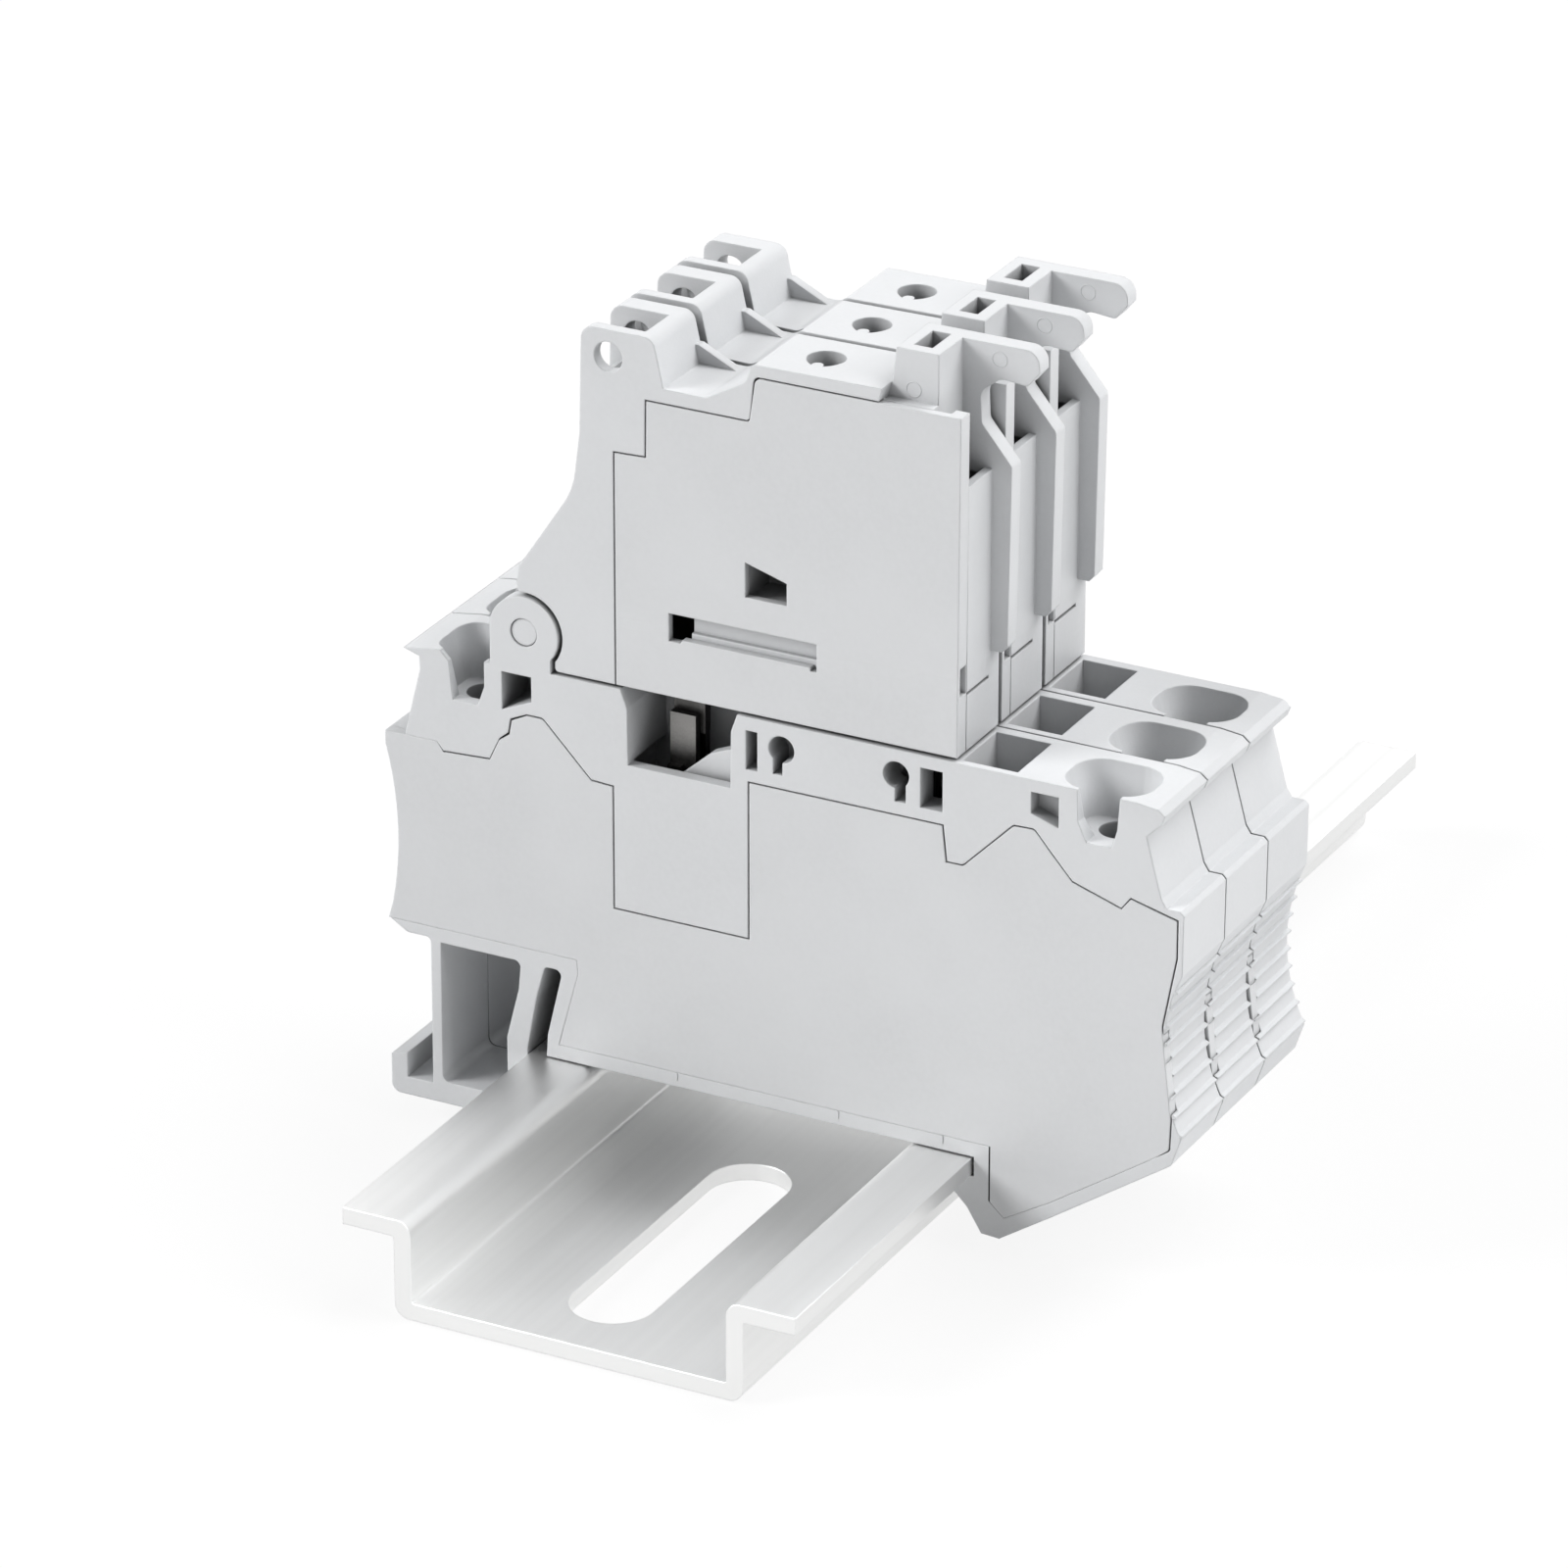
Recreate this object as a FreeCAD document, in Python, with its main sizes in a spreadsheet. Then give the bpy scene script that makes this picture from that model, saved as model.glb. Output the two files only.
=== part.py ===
import FreeCAD, Part
import math
import os

# Fuse terminal block: three equal fuse ways clipped side by side on a slotted top-hat rail.
# X runs along each way (hinge end at -X, finger grip at +X), Y runs along the rail with the
# front way at -Y, and Z points up from the underside of the rail. Millimetres throughout.

WAYS = 3

SIZES = [
    # The rail, a 35 by 7.5 mm top-hat section
    ("rail_length", 102.0, "whole length of the rail"),
    ("rail_width", 35.0, "over both flanges"),
    ("rail_height", 7.5, "underside to flange tops"),
    ("rail_channel", 27.0, "outside width of the channel"),
    ("rail_sheet", 1.3, "sheet thickness"),
    ("rail_bend", 0.2, "inner radius of each bend"),
    ("rail_corner", 1.1, "outer radius of each bend"),
    ("slot_length", 26.0, "mounting slot, end to end"),
    ("slot_width", 6.2, "mounting slot, across"),
    ("slot_pitch", 34.5, "from slot to slot"),
    # The ways and how they stand on the rail
    ("ways_start", 26.5, "rail end to the first front face"),
    ("way_pitch", 6.8, "from way to way"),
    ("way_gap", 0.16, "free gap between two housings"),
    ("rail_play", 0.1, "gap between a foot and the flange"),
    ("edge_play", 0.15, "gap beside a flange edge"),
    # The housing outline
    ("end_left", 28.8, "rail centre to the left end wall"),
    ("end_right", 33.3, "rail centre to the right end wall"),
    ("deck", 30.3, "height of the ledge at the left end"),
    ("deck_right", 29.85, "height of the ledge at the right end"),
    ("top", 37.3, "height of the housing top"),
    ("foot", 1.7, "lowest point of the feet"),
    ("waist", 0.9, "depth of the hollow in each end wall"),
    ("back_wall", 0.9, "housing back wall"),
    ("cover_sheet", 0.9, "side cover thickness"),
    ("seam", 0.12, "gap round an inlaid cover"),
    ("socket_depth", 2.4, "side sockets for the next way's pegs"),
    ("peg", 0.6, "half the width of the square pegs on the back wall"),
    ("peg_length", 1.1, "pegs on the back wall"),
    ("socket_radius", 1.0, "round end of the keyhole sockets"),
    ("tooth", 0.3, "height of one end wall ridge"),
    ("tooth_pitch", 1.35, "from ridge to ridge"),
    ("teeth", 9, "ridges on the right end wall"),
    # Hinge
    ("pin_left", 17.55, "rail centre to the hinge axis"),
    ("pin_height", 40.1, "height of the hinge axis"),
    ("pin_radius", 1.0, "moulded trunnion"),
    ("pin_play", 0.06, "running gap in the ear"),
    ("ear_radius", 2.7, "hinge ear"),
    ("ear_leg", 2.1, "hinge axis to the inner side of the ear's leg"),
    ("ear_sheet", 1.2, "hinge ear thickness"),
    ("ear_play", 0.3, "gap between ear and lever"),
    ("side_play", 0.25, "side gap between ear and knuckle"),
    # Conductor funnels and release shafts
    ("funnel_floor", 33.5, "floor height of both funnels"),
    ("funnel_start", 0.25, "front face to the funnel rim"),
    ("funnel_deep", 5.3, "funnel rim along the rail"),
    ("right_taper", 1.05, "how far the right funnel closes in on each side"),
    ("left_taper", 0.75, "how far the left funnel closes in on each side"),
    ("right_funnel", 26.55, "centre of the right funnel rim"),
    ("right_funnel_width", 6.6, "right funnel rim along the way"),
    ("left_funnel", 22.6, "centre of the left funnel rim"),
    ("left_funnel_width", 5.2, "left funnel rim along the way"),
    ("throat", 1.4, "radius of the conductor hole"),
    ("throat_right", 27.0, "rail centre to the right conductor hole"),
    ("throat_left", 22.2, "rail centre to the left conductor hole"),
    ("throat_middle", 2.85, "front face to the conductor holes"),
    ("shaft_left", 16.2, "release shaft, inner side"),
    ("shaft_width", 4.2, "release shaft along the way"),
    ("shaft_start", 0.6, "front face to the shaft"),
    ("shaft_deep", 5.2, "release shaft along the rail"),
    # Lever
    ("lever_start", 0.15, "front face to the lever face"),
    ("lever_width", 6.3, "lever thickness"),
    ("lever_lift", 0.3, "gap between housing top and lever"),
    ("lever_right", 16.0, "rail centre to the lever's end face"),
    ("lever_top", 63.55, "height of the lever top"),
    ("lever_sheet", 0.6, "lever cover thickness"),
    ("lever_wall", 0.4, "lever back wall behind the fuse"),
    ("rim_depth", 0.7, "turned-in rim of the lever cover, behind its sheet"),
    ("rim_width", 0.9, "turned-in rim of the lever cover, along the way"),
    ("block_top", 66.25, "height of the marker block and finger grip"),
    ("block_right", 13.7, "rail centre to the marker block's end"),
    ("block_start", 1.6, "front face to the marker block"),
    ("flange_sheet", 1.35, "finger flange thickness"),
    ("flange_right", 17.5, "rail centre to the flange edge"),
    ("grip_right", 19.5, "rail centre to the tip of the finger grip"),
    ("eye_left", 10.76, "rail centre to the lock eye"),
    ("eye_height", 62.0, "height of the lock eye"),
    ("eye_radius", 1.1, "lock eye"),
    ("test_hole", 1.4, "test socket radius"),
    # Cartridge fuse, 5 by 20 mm
    ("fuse_length", 20.0, "over both caps"),
    ("cap_radius", 2.6, "end cap"),
    ("cap_length", 5.3, "end cap"),
    ("glass_radius", 2.4, "glass tube"),
    ("glass_sheet", 0.45, "glass wall"),
    ("wire", 0.25, "fuse wire, flat strip"),
    ("fuse_left", 6.0, "rail centre to the left cap's end"),
    ("fuse_height", 54.0, "height of the fuse axis"),
    ("fuse_play", 0.05, "gap round the fuse and its contacts"),
    # Current path
    ("blade_sheet", 0.8, "lever contact thickness"),
    ("blade_width", 2.4, "lever contact blade along the way"),
    ("blade_foot", 33.9, "height of the blade tips"),
    ("fork_sheet", 0.6, "fork tongue thickness"),
    ("bar_sheet", 1.0, "current bar thickness"),
    ("bar_width", 3.0, "current bar along the rail"),
    ("bar_floor", 18.4, "underside of the current bars"),
    ("spring_sheet", 0.4, "clamp spring strip"),
    ("spring_width", 3.6, "clamp spring along the rail"),
]

doc = FreeCAD.newDocument("fuse_terminal_block")
sheet = doc.addObject("Spreadsheet::Sheet", "size")
for row, (alias, value, note) in enumerate(SIZES, start=1):
    sheet.set("A%d" % row, alias)
    sheet.set("B%d" % row, str(value))
    sheet.setAlias("B%d" % row, alias)
    sheet.set("C%d" % row, note)
doc.recompute()


class Sizes:
    """Reads a driving dimension from the sheet by its alias."""

    def __getattr__(self, alias):
        return float(getattr(sheet, alias))


s = Sizes()
nodes = []


# Outlines: corners are (x, z), (x, z, radius) or (x, z, "via") for a point on an arc

def corner_arc(before, corner, after, radius):
    """Tangent points and centre of a rounded corner."""
    point = FreeCAD.Vector(corner[0], corner[1], 0)
    to_before = (FreeCAD.Vector(before[0], before[1], 0) - point).normalize()
    to_after = (FreeCAD.Vector(after[0], after[1], 0) - point).normalize()
    half = to_before.getAngle(to_after) / 2
    reach = radius / math.tan(half)
    middle = (to_before + to_after).normalize()
    centre = point + middle * (radius / math.sin(half))
    return point + to_before * reach, centre, point + to_after * reach


def arc_between(start, centre, end):
    """The shorter arc round centre from start to end, as sketch geometry."""
    first = math.atan2(start.y - centre.y, start.x - centre.x)
    last = math.atan2(end.y - centre.y, end.x - centre.x)
    if (last - first) % (2 * math.pi) > math.pi:
        first, last = last, first
    circle = Part.Circle(centre, FreeCAD.Vector(0, 0, 1), start.distanceToPoint(centre))
    return Part.ArcOfCircle(circle, first, last)


def arc_through(start, middle, end):
    """The arc from start through middle to end, as sketch geometry."""
    centre = Part.Arc(start, middle, end).toShape().Curve.Center
    first = math.atan2(start.y - centre.y, start.x - centre.x)
    between = math.atan2(middle.y - centre.y, middle.x - centre.x)
    last = math.atan2(end.y - centre.y, end.x - centre.x)
    if (between - first) % (2 * math.pi) > (last - first) % (2 * math.pi):
        first, last = last, first
    ring = Part.Circle(centre, FreeCAD.Vector(0, 0, 1), start.distanceToPoint(centre))
    return Part.ArcOfCircle(ring, first, last)


def loop(corners):
    """Lines and arcs of one closed outline."""
    count = len(corners)
    geometry = []
    leaving = None
    first_point = None
    pending = None
    for index in range(count + 1):
        corner = corners[index % count]
        if index == count and pending is None and leaving is None:
            break
        flag = corner[2] if len(corner) > 2 else 0
        if flag == "via":
            pending = FreeCAD.Vector(corner[0], corner[1], 0)
            continue
        if flag and index < count:
            before = corners[index - 1]
            after = corners[(index + 1) % count]
            start, centre, end = corner_arc(before, corner, after, flag)
        else:
            start = end = FreeCAD.Vector(corner[0], corner[1], 0)
            centre = None
        if index == count:
            start = first_point
        if leaving is not None:
            if pending is not None:
                geometry.append(arc_through(leaving, pending, start))
                pending = None
            elif leaving.distanceToPoint(start) > 1e-4:
                geometry.append(Part.LineSegment(leaving, start))
        if index == count:
            break
        if centre is not None:
            geometry.append(arc_between(start, centre, end))
        if first_point is None:
            first_point = start
        leaving = end
    return geometry


def circle(x, z, radius):
    return [Part.Circle(FreeCAD.Vector(x, z, 0), FreeCAD.Vector(0, 0, 1), radius)]


def rectangle(left, low, right, high, radius=0):
    corners = [(left, low), (left, high), (right, high), (right, low)]
    if radius:
        corners = [(x, z, radius) for x, z in corners]
    return loop(corners)


def strip(path, thickness):
    """Outline of a bent strip whose middle line is path, corners (x, z, radius)."""
    points = [FreeCAD.Vector(p[0], p[1], 0) for p in path]
    radii = [p[2] if len(p) > 2 else 0 for p in path]
    sides = {1: [], -1: []}
    for side in sides:
        for index, point in enumerate(points):
            normals = []
            for a, b in ((index - 1, index), (index, index + 1)):
                if a >= 0 and b < len(points):
                    run = (points[b] - points[a]).normalize()
                    normals.append(FreeCAD.Vector(-run.y, run.x, 0))
            if len(normals) == 1:
                moved = point + normals[0] * (side * thickness / 2)
                sides[side].append((moved.x, moved.y))
                continue
            middle = (normals[0] + normals[1]).normalize()
            moved = point + middle * (side * thickness / 2 / middle.dot(normals[0]))
            turn = normals[0].cross(normals[1]).z
            radius = radii[index] - math.copysign(thickness / 2, turn) * side
            sides[side].append((moved.x, moved.y, radius if radii[index] else 0))
    return loop(sides[1] + sides[-1][::-1])


class Moulding:
    """One piece built up from sketches that stand across the rail."""

    def __init__(self, label, way=None):
        self.body = doc.addObject("PartDesign::Body", label)
        self.body.Label = label
        self.count = 0
        if way is not None:
            place = "size.ways_start - size.rail_length / 2 + size.way_pitch * %d" % way
            self.body.setExpression("Placement.Base.y", place)
        nodes.append((label, self.body))

    def sketch(self, name, loops, plane, offset):
        self.count += 1
        sketch = self.body.newObject("Sketcher::SketchObject", "%s_%s" % (self.body.Name, name))
        for feature in self.body.Origin.OriginFeatures:
            if feature.Role == plane:
                sketch.AttachmentSupport = [(feature, "")]
        sketch.MapMode = "FlatFace"
        sketch.setExpression("AttachmentOffset.Base.z", offset)
        for outline in loops:
            sketch.addGeometry(outline, False)
        return sketch

    def pad(self, name, loops, start, length):
        """Adds the outlines from start for length, along the rail."""
        sketch = self.sketch(name + "_sketch", loops, "XZ_Plane", "-(%s)" % start)
        pad = self.body.newObject("PartDesign::Pad", "%s_%s" % (self.body.Name, name))
        pad.Profile = sketch
        pad.Reversed = True
        pad.setExpression("Length", length)
        return pad

    def pocket(self, name, loops, start, depth):
        """Cuts the outlines from start for depth, along the rail."""
        sketch = self.sketch(name + "_sketch", loops, "XZ_Plane", "-(%s)" % start)
        pocket = self.body.newObject("PartDesign::Pocket", "%s_%s" % (self.body.Name, name))
        pocket.Profile = sketch
        pocket.setExpression("Length", depth)
        return pocket

    def sink(self, name, loops, level, depth):
        """Cuts plan outlines (x, y) downwards from level."""
        sketch = self.sketch(name + "_sketch", loops, "XY_Plane", level)
        pocket = self.body.newObject("PartDesign::Pocket", "%s_%s" % (self.body.Name, name))
        pocket.Profile = sketch
        pocket.setExpression("Length", depth)
        return pocket

    def taper(self, name, rim, foot):
        """Cuts a funnel from a plan outline at the housing top to one at the funnel floor."""
        upper = self.sketch(name + "_rim", [rim], "XY_Plane", "size.top + 0.2")
        lower = self.sketch(name + "_foot", [foot], "XY_Plane", "size.funnel_floor")
        funnel = self.body.newObject("PartDesign::SubtractiveLoft", "%s_%s" % (self.body.Name, name))
        funnel.Profile = upper
        funnel.Sections = [lower]
        funnel.Ruled = True
        return funnel


# Rail

def slot(x, y):
    """Plan outline of one mounting slot."""
    wide = s.slot_width / 2
    long = s.slot_length / 2
    straight = long - wide
    return loop([(x - wide, y - straight), (x - wide, y + straight), (x, y + long, "via"),
                 (x + wide, y + straight), (x + wide, y - straight), (x, y - long, "via")])


def make_rail():
    rail = Moulding("rail")
    flange = s.rail_width / 2
    outer = s.rail_channel / 2
    inner = outer - s.rail_sheet
    high = s.rail_height
    under = high - s.rail_sheet
    small = s.rail_bend
    large = s.rail_corner
    right = [(inner, s.rail_sheet, small), (inner, high, large), (flange, high), (flange, under),
             (outer, under, small), (outer, 0, large)]
    left = [(-p[0],) + p[1:] for p in reversed(right)]
    rail.pad("section", [loop(right + left)], "-size.rail_length / 2", "size.rail_length")
    slots = [slot(0, step * s.slot_pitch) for step in (-1, 0, 1)]
    rail.sink("slots", slots, "size.rail_sheet + 1", "size.rail_sheet + 2")


# Housing

def foot_outline():
    """Spring latch at the left flange, from the post down and back to the body."""
    edge = -s.rail_width / 2 - s.edge_play
    catch = s.rail_height - s.rail_sheet - s.rail_play
    seat = s.rail_height + s.rail_play
    low = s.foot + 0.2
    post = -25.4
    return [(post, 14.85, 0.4), (post, 3.3), (post - 2.1, 3.3), (post - 2.1, 5.2),
            (-s.end_left, 4.9), (-s.end_left, low, 0.7), (-20.4, low, 0.6), (edge + 1.5, catch - 1.6),
            (edge + 1.6, catch), (edge, catch), (edge, seat + 0.3), (-16.9, 12.0), (-16.2, 14.6, 0.4),
            (-14.75, 14.6, 0.5), (-16.0, 9.3), (-16.1, seat)]


def hook_outline():
    """Fixed hook at the right flange, from the seat round to the end wall."""
    edge = s.rail_width / 2 + s.edge_play
    catch = s.rail_height - s.rail_sheet - s.rail_play
    seat = s.rail_height + s.rail_play
    return [(edge, seat), (edge, catch), (edge - 1.7, catch), (edge - 1.5, catch - 1.5),
            (edge - 0.5, 3.6), (edge + 0.6, s.foot + 0.1), (edge + 2.0, s.foot), (23.6, 4.3),
            (s.end_right - 0.6, 10.5, 0.6)]


def housing_outline():
    """Front silhouette of one way, clockwise from the left wing."""
    top = s.top
    deck = s.deck
    ledge = s.deck_right
    left = [(-s.end_left + 1.6, top - 0.3), (-24.6, top + 0.1)]
    right_top = [(29.5, top), (31.2, top - 0.2), (31.75, top - 0.65), (31.5, top - 1.3)]
    right_side = [(30.4, top - 2.4), (s.end_right - 1.7, ledge + 0.6), (s.end_right - 1.3, ledge),
                  (s.end_right - 0.3, ledge), (s.end_right, ledge - 0.3),
                  (s.end_right - 0.05, 25.0), (s.end_right - s.waist - 0.5, 19.0, "via"),
                  (s.end_right + 0.1, 12.6)]
    end_foot = hook_outline()[::-1]
    latch = foot_outline()[::-1]
    left_side = [(-27.3, 14.85, 0.5), (-s.end_left + 0.1, 15.7), (-s.end_left + s.waist, 22.5, "via"),
                 (-s.end_left, 29.3), (-s.end_left, deck), (-27.2, deck), (-25.9, top - 1.7, 0.8),
                 (-25.95, top - 0.7)]
    return left + right_top + right_side + end_foot + latch + left_side


def cover_outline(gap):
    """Side cover silhouette, drawn in by gap on the edges that meet the housing."""
    g = gap
    end = s.end_right - 1.4
    floor = s.rail_height + 1.2
    return [(-s.end_left, s.deck), (-24.6, s.deck), (-24.1, 29.7 - g), (-20.4, 29.9 - g),
            (-19.6, 31.6 - g), (-18.9 + g, 32.2 - g), (-18.7 + g, 33.3 - g),
            (-17.4, 33.9 - g), (-16.1, 33.9 - g, 0.5), (-12.3, 30.0 - g),
            (-10.5 - g, 29.9 - g), (-10.5 - g, 20.5 - g), (0.0 + g, 20.5 - g), (0.0 + g, 32.5 - g),
            (15.1 - g, 32.5 - g), (15.4 - g, 29.8 - g), (16.6, 29.8 - g, 0.4), (20.4, 33.65 - g, 0.4),
            (22.0, 33.7 - g, 0.5), (23.2, 32.3 - g), (24.9, 30.4 - g), (28.6, 29.2 - g),
            (29.3, 30.1 - g), (end + 1.0 - g, 29.2 - g), (end + 1.0 - g, 26.3, 0.8),
            (end - g, 20.9, 2.0), (end + 0.8 - g, 14.0, 0.8), (end + 0.7 - g, 11.6, 0.4),
            (31.0, 10.5 + g), (23.3, 5.3 + g), (20.0, 3.4 + g), (18.9, 4.4 + g), (18.9, floor + g),
            (-15.1 + g, floor + g), (-13.5 + g, 14.6), (-13.6 + g, 15.7 + g),
            (-s.end_left + 0.1, 15.7 + g), (-s.end_left + s.waist, 22.5, "via"), (-s.end_left, 29.3)]


def ear_outline():
    """Hinge ear on its neck."""
    x = -s.pin_left
    r = s.ear_radius
    neck = s.top - 0.5
    leg = s.ear_leg
    turn = s.pin_height - math.sqrt(r * r - leg * leg)
    return [(x - r, neck), (x - r, s.pin_height), (x, s.pin_height + r, "via"), (x + r, s.pin_height),
            (x + r * 0.94, s.pin_height - r * 0.342, "via"), (x + leg, turn), (x + leg, neck)]


def make_housing(way):
    housing = Moulding("housing_%d" % (way + 1), way)
    thick = "size.way_pitch - size.way_gap"
    inner = thick + " - size.back_wall"
    behind = inner + " - size.cover_sheet"
    housing.pad("shell", [loop(housing_outline())], "0", thick)

    # Ridges across the right end wall
    ridges = []
    for index in range(int(s.teeth)):
        z = 12.8 + index * s.tooth_pitch
        away = (z - 18.9) / 6.4
        wall = s.end_right - (s.waist + 0.5) * max(0.0, 1 - away * away)
        ridges.append(loop([(wall - 0.8, z + 0.6), (wall + s.tooth, z + 0.1), (wall + s.tooth, z),
                            (wall - 0.8, z - 0.2)]))
    housing.pad("ridges", ridges, "0", thick)

    # Hinge ears
    housing.pad("ear_front", [loop(ear_outline())], "0", "size.ear_sheet")
    housing.pad("ear_back", [loop(ear_outline())], thick + " - size.ear_sheet", "size.ear_sheet")
    x = -s.pin_left
    hole = circle(x, s.pin_height, s.pin_radius + s.pin_play)
    housing.pocket("pin_holes", [hole], "-1", thick + " + 2")
    latch_window = loop([(-24.6, 3.6, 0.6), (-24.6, 14.6), (-18.1, 14.6, 0.5), (-18.3, 12.4),
                         (-19.3, 8.4), (-19.3, 5.6), (-20.8, 3.6)])
    housing.pocket("latch_window", [latch_window], "-1", thick + " + 2")
    housing.pocket("cover_seat", [loop(cover_outline(0))], "0", "size.cover_sheet")

    # Hollows behind the side cover
    low = s.bar_floor - 1.2
    left_hollow = loop([(-26.7, low), (-26.6, 28.5), (-10.3, 28.5), (-10.3, 31.8), (-1.3, 31.8),
                        (-1.3, low)])
    right_hollow = loop([(3.0, low), (3.0, 31.3), (14.2, 31.3), (14.2, 28.3), (30.6, 28.3),
                         (30.9, 25.5), (30.0, 20.5), (30.0, low)])
    middle_hollow = loop([(-13.2, 9.9), (-11.8, low - 1.4), (16.8, low - 1.4), (16.8, 9.9)])
    hook_hollow = loop([(20.1, 5.2), (20.1, 9.9), (18.2, 9.9), (18.2, low - 1.4), (30.3, low - 1.4),
                        (31.2, 12.5), (21.4, 5.2)])
    housing.pocket("hollows", [left_hollow, right_hollow, middle_hollow, hook_hollow],
                   "size.cover_sheet", behind)
    window = loop([(-10.3, s.top + 1), (-9.45, 36.0), (-9.4, 31.7), (-1.35, 31.7), (-1.3, 36.0),
                   (-0.5, s.top + 1)])
    housing.pocket("window", [window], "0", inner)
    guide = loop([(-6.2, 31.0), (-3.6, 33.3), (-2.2, 33.9), (-0.9, 34.0), (-0.9, 31.0)])
    housing.pad("blade_guide", [guide], "1.3", "0.9")

    # Conductor funnels narrow to round holes, and are open to the front through a notch
    for name, centre, width, close, radius in (
            ("right_funnel", s.right_funnel, s.right_funnel_width, s.right_taper, 2.2),
            ("left_funnel", -s.left_funnel, s.left_funnel_width, s.left_taper, 1.7)):
        left = centre - width / 2
        right = centre + width / 2
        near = s.funnel_start
        far = s.funnel_start + s.funnel_deep
        housing.taper(name, rectangle(left, near, right, far, radius),
                      rectangle(left + close, near + close, right - close, far - close, radius - close))
    notch_right = loop([(25.9, s.funnel_floor), (25.25, 34.9), (25.15, s.top + 1),
                        (28.45, s.top + 1), (28.2, 34.9), (27.8, s.funnel_floor)])
    notch_left = loop([(-23.3, s.funnel_floor + 0.3), (-23.6, 36.7), (-24.2, s.top), (-24.2, s.top + 1),
                       (-20.3, s.top + 1), (-20.3, s.top - 0.1), (-20.75, s.top - 0.1),
                       (-20.75, 35.3), (-21.3, s.funnel_floor + 0.3)])
    housing.pocket("notches", [notch_right, notch_left], "0", "size.throat_middle")
    throats = [circle(x, s.throat_middle, s.throat) for x in (s.throat_right, -s.throat_left)]
    housing.sink("throats", throats, "size.funnel_floor + 0.5", "size.funnel_floor + 0.5 - 27.5")

    # Release shafts: the right one is open, the left one lies under the closed lever
    shafts = [rectangle(s.shaft_left, s.shaft_start, s.shaft_left + s.shaft_width,
                        s.shaft_start + s.shaft_deep),
              rectangle(-15.1, 1.4, -11.4, 5.2)]
    housing.sink("release_shafts", shafts, "size.top + 1", "size.top + 1 - 27.5")
    fork = s.blade_sheet / 2 + s.fork_sheet + 0.3
    middle = s.lever_start + s.lever_width / 2
    housing.sink("blade_slot", [rectangle(10.8, middle - fork, 14.6, middle + fork)],
                 "size.top + 1", "size.top + 1 - 30")

    # Side sockets, with pegs to match on the back
    r = s.socket_radius
    key_left = loop([(1.95, 33.5), (1.95, 35.45 - r * 0.75), (2.6, 35.45 + r, "via"),
                     (2.7, 35.45 - r), (2.7, 33.5)])
    key_right = loop([(11.35, 33.45), (11.35, 35.45 - r), (11.45, 35.45 + r, "via"),
                      (12.2, 35.45 - r * 0.66), (12.2, 33.45)])
    slits = [rectangle(-0.15, 33.4, 0.75, 36.35), rectangle(13.3, 33.4, 15.0, 36.4)]
    housing.pocket("sockets", [key_left, key_right] + slits, "0", "size.socket_depth")
    square_right = loop([(21.7, 34.8), (21.7, 36.4), (23.8, 36.4), (23.8, 34.1)])
    housing.pocket("square_right", [square_right], "0", "1.3")
    square_left = loop([(-19.35, 33.9), (-19.35, 36.8), (-17.0, 36.8), (-17.0, 34.9)])
    housing.pocket("square_left", [square_left], "0", "1.6 * size.socket_depth")
    pegs = [rectangle(x - s.peg, 35.45 - s.peg, x + s.peg, 35.45 + s.peg) for x in (2.6, 11.45)]
    housing.pad("pegs", pegs, thick + " - 0.3", "size.peg_length + 0.3")


def make_side_cover(way):
    cover = Moulding("side_cover_%d" % (way + 1), way)
    cover.pad("plate", [loop(cover_outline(s.seam))], "0", "size.cover_sheet")


# Lever

def eye_pocket_right():
    return -s.eye_left + 2.45


def lever_outline():
    """Lever silhouette, with the concentric recess that clears the hinge ear."""
    x = -s.pin_left
    reach = s.ear_radius + s.ear_play
    low = s.top + s.lever_lift
    edge = x + s.ear_leg + s.ear_play
    meet = s.pin_height - math.sqrt(reach * reach - (edge - x) ** 2)
    return [(edge, low, 0.3), (edge, meet), (x + reach, s.pin_height, "via"),
            (x - 0.42, s.pin_height + reach - 0.03),
            (-18.15, s.pin_height + 3.5), (-17.95, 45.0), (-13.6, 51.6, 6.0), (-13.05, 56.0),
            (-12.85, 64.0, 1.0), (-7.3, 64.0, 0.9), (-6.5, 60.45), (-3.3, 60.4, 1.0),
            (-0.2, 62.1, 1.2), (0.3, s.lever_top, 0.5), (10.2, s.lever_top + 0.1),
            (10.5, s.block_top), (s.block_right, s.block_top), (s.block_right, 57.1),
            (s.lever_right, 57.1), (s.lever_right, low)]


def flange_outline():
    """Finger flange down the back of the lever, with the grip tab at its top."""
    right = s.flange_right
    return [(12.0, 44.2), (12.0, s.block_top), (s.grip_right, s.block_top, 1.1),
            (s.grip_right, 64.7), (s.grip_right - 0.9, 63.6, 0.4), (16.6, 63.8, 0.9),
            (15.1, 62.6, 0.9), (15.2, 60.3, 0.6), (right, 57.5, 0.5),
            (right - 0.2, 44.2), (right - 0.6, 43.7), (15.0, 43.7)]


def lever_cover_outline(gap):
    """Stepped cover on the front of the lever."""
    low = s.top + s.lever_lift
    right = s.lever_right
    return [(-10.45 + gap, low), (-10.45 + gap, 55.1 - gap), (-8.0 + gap, 55.2 - gap),
            (-7.95 + gap, 59.4 - gap), (0.1, 59.4 - gap, 0.3), (0.45 + gap, 62.7 - gap, 0.5),
            (right + 0.1, 62.7 - gap), (right, low)]


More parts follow.
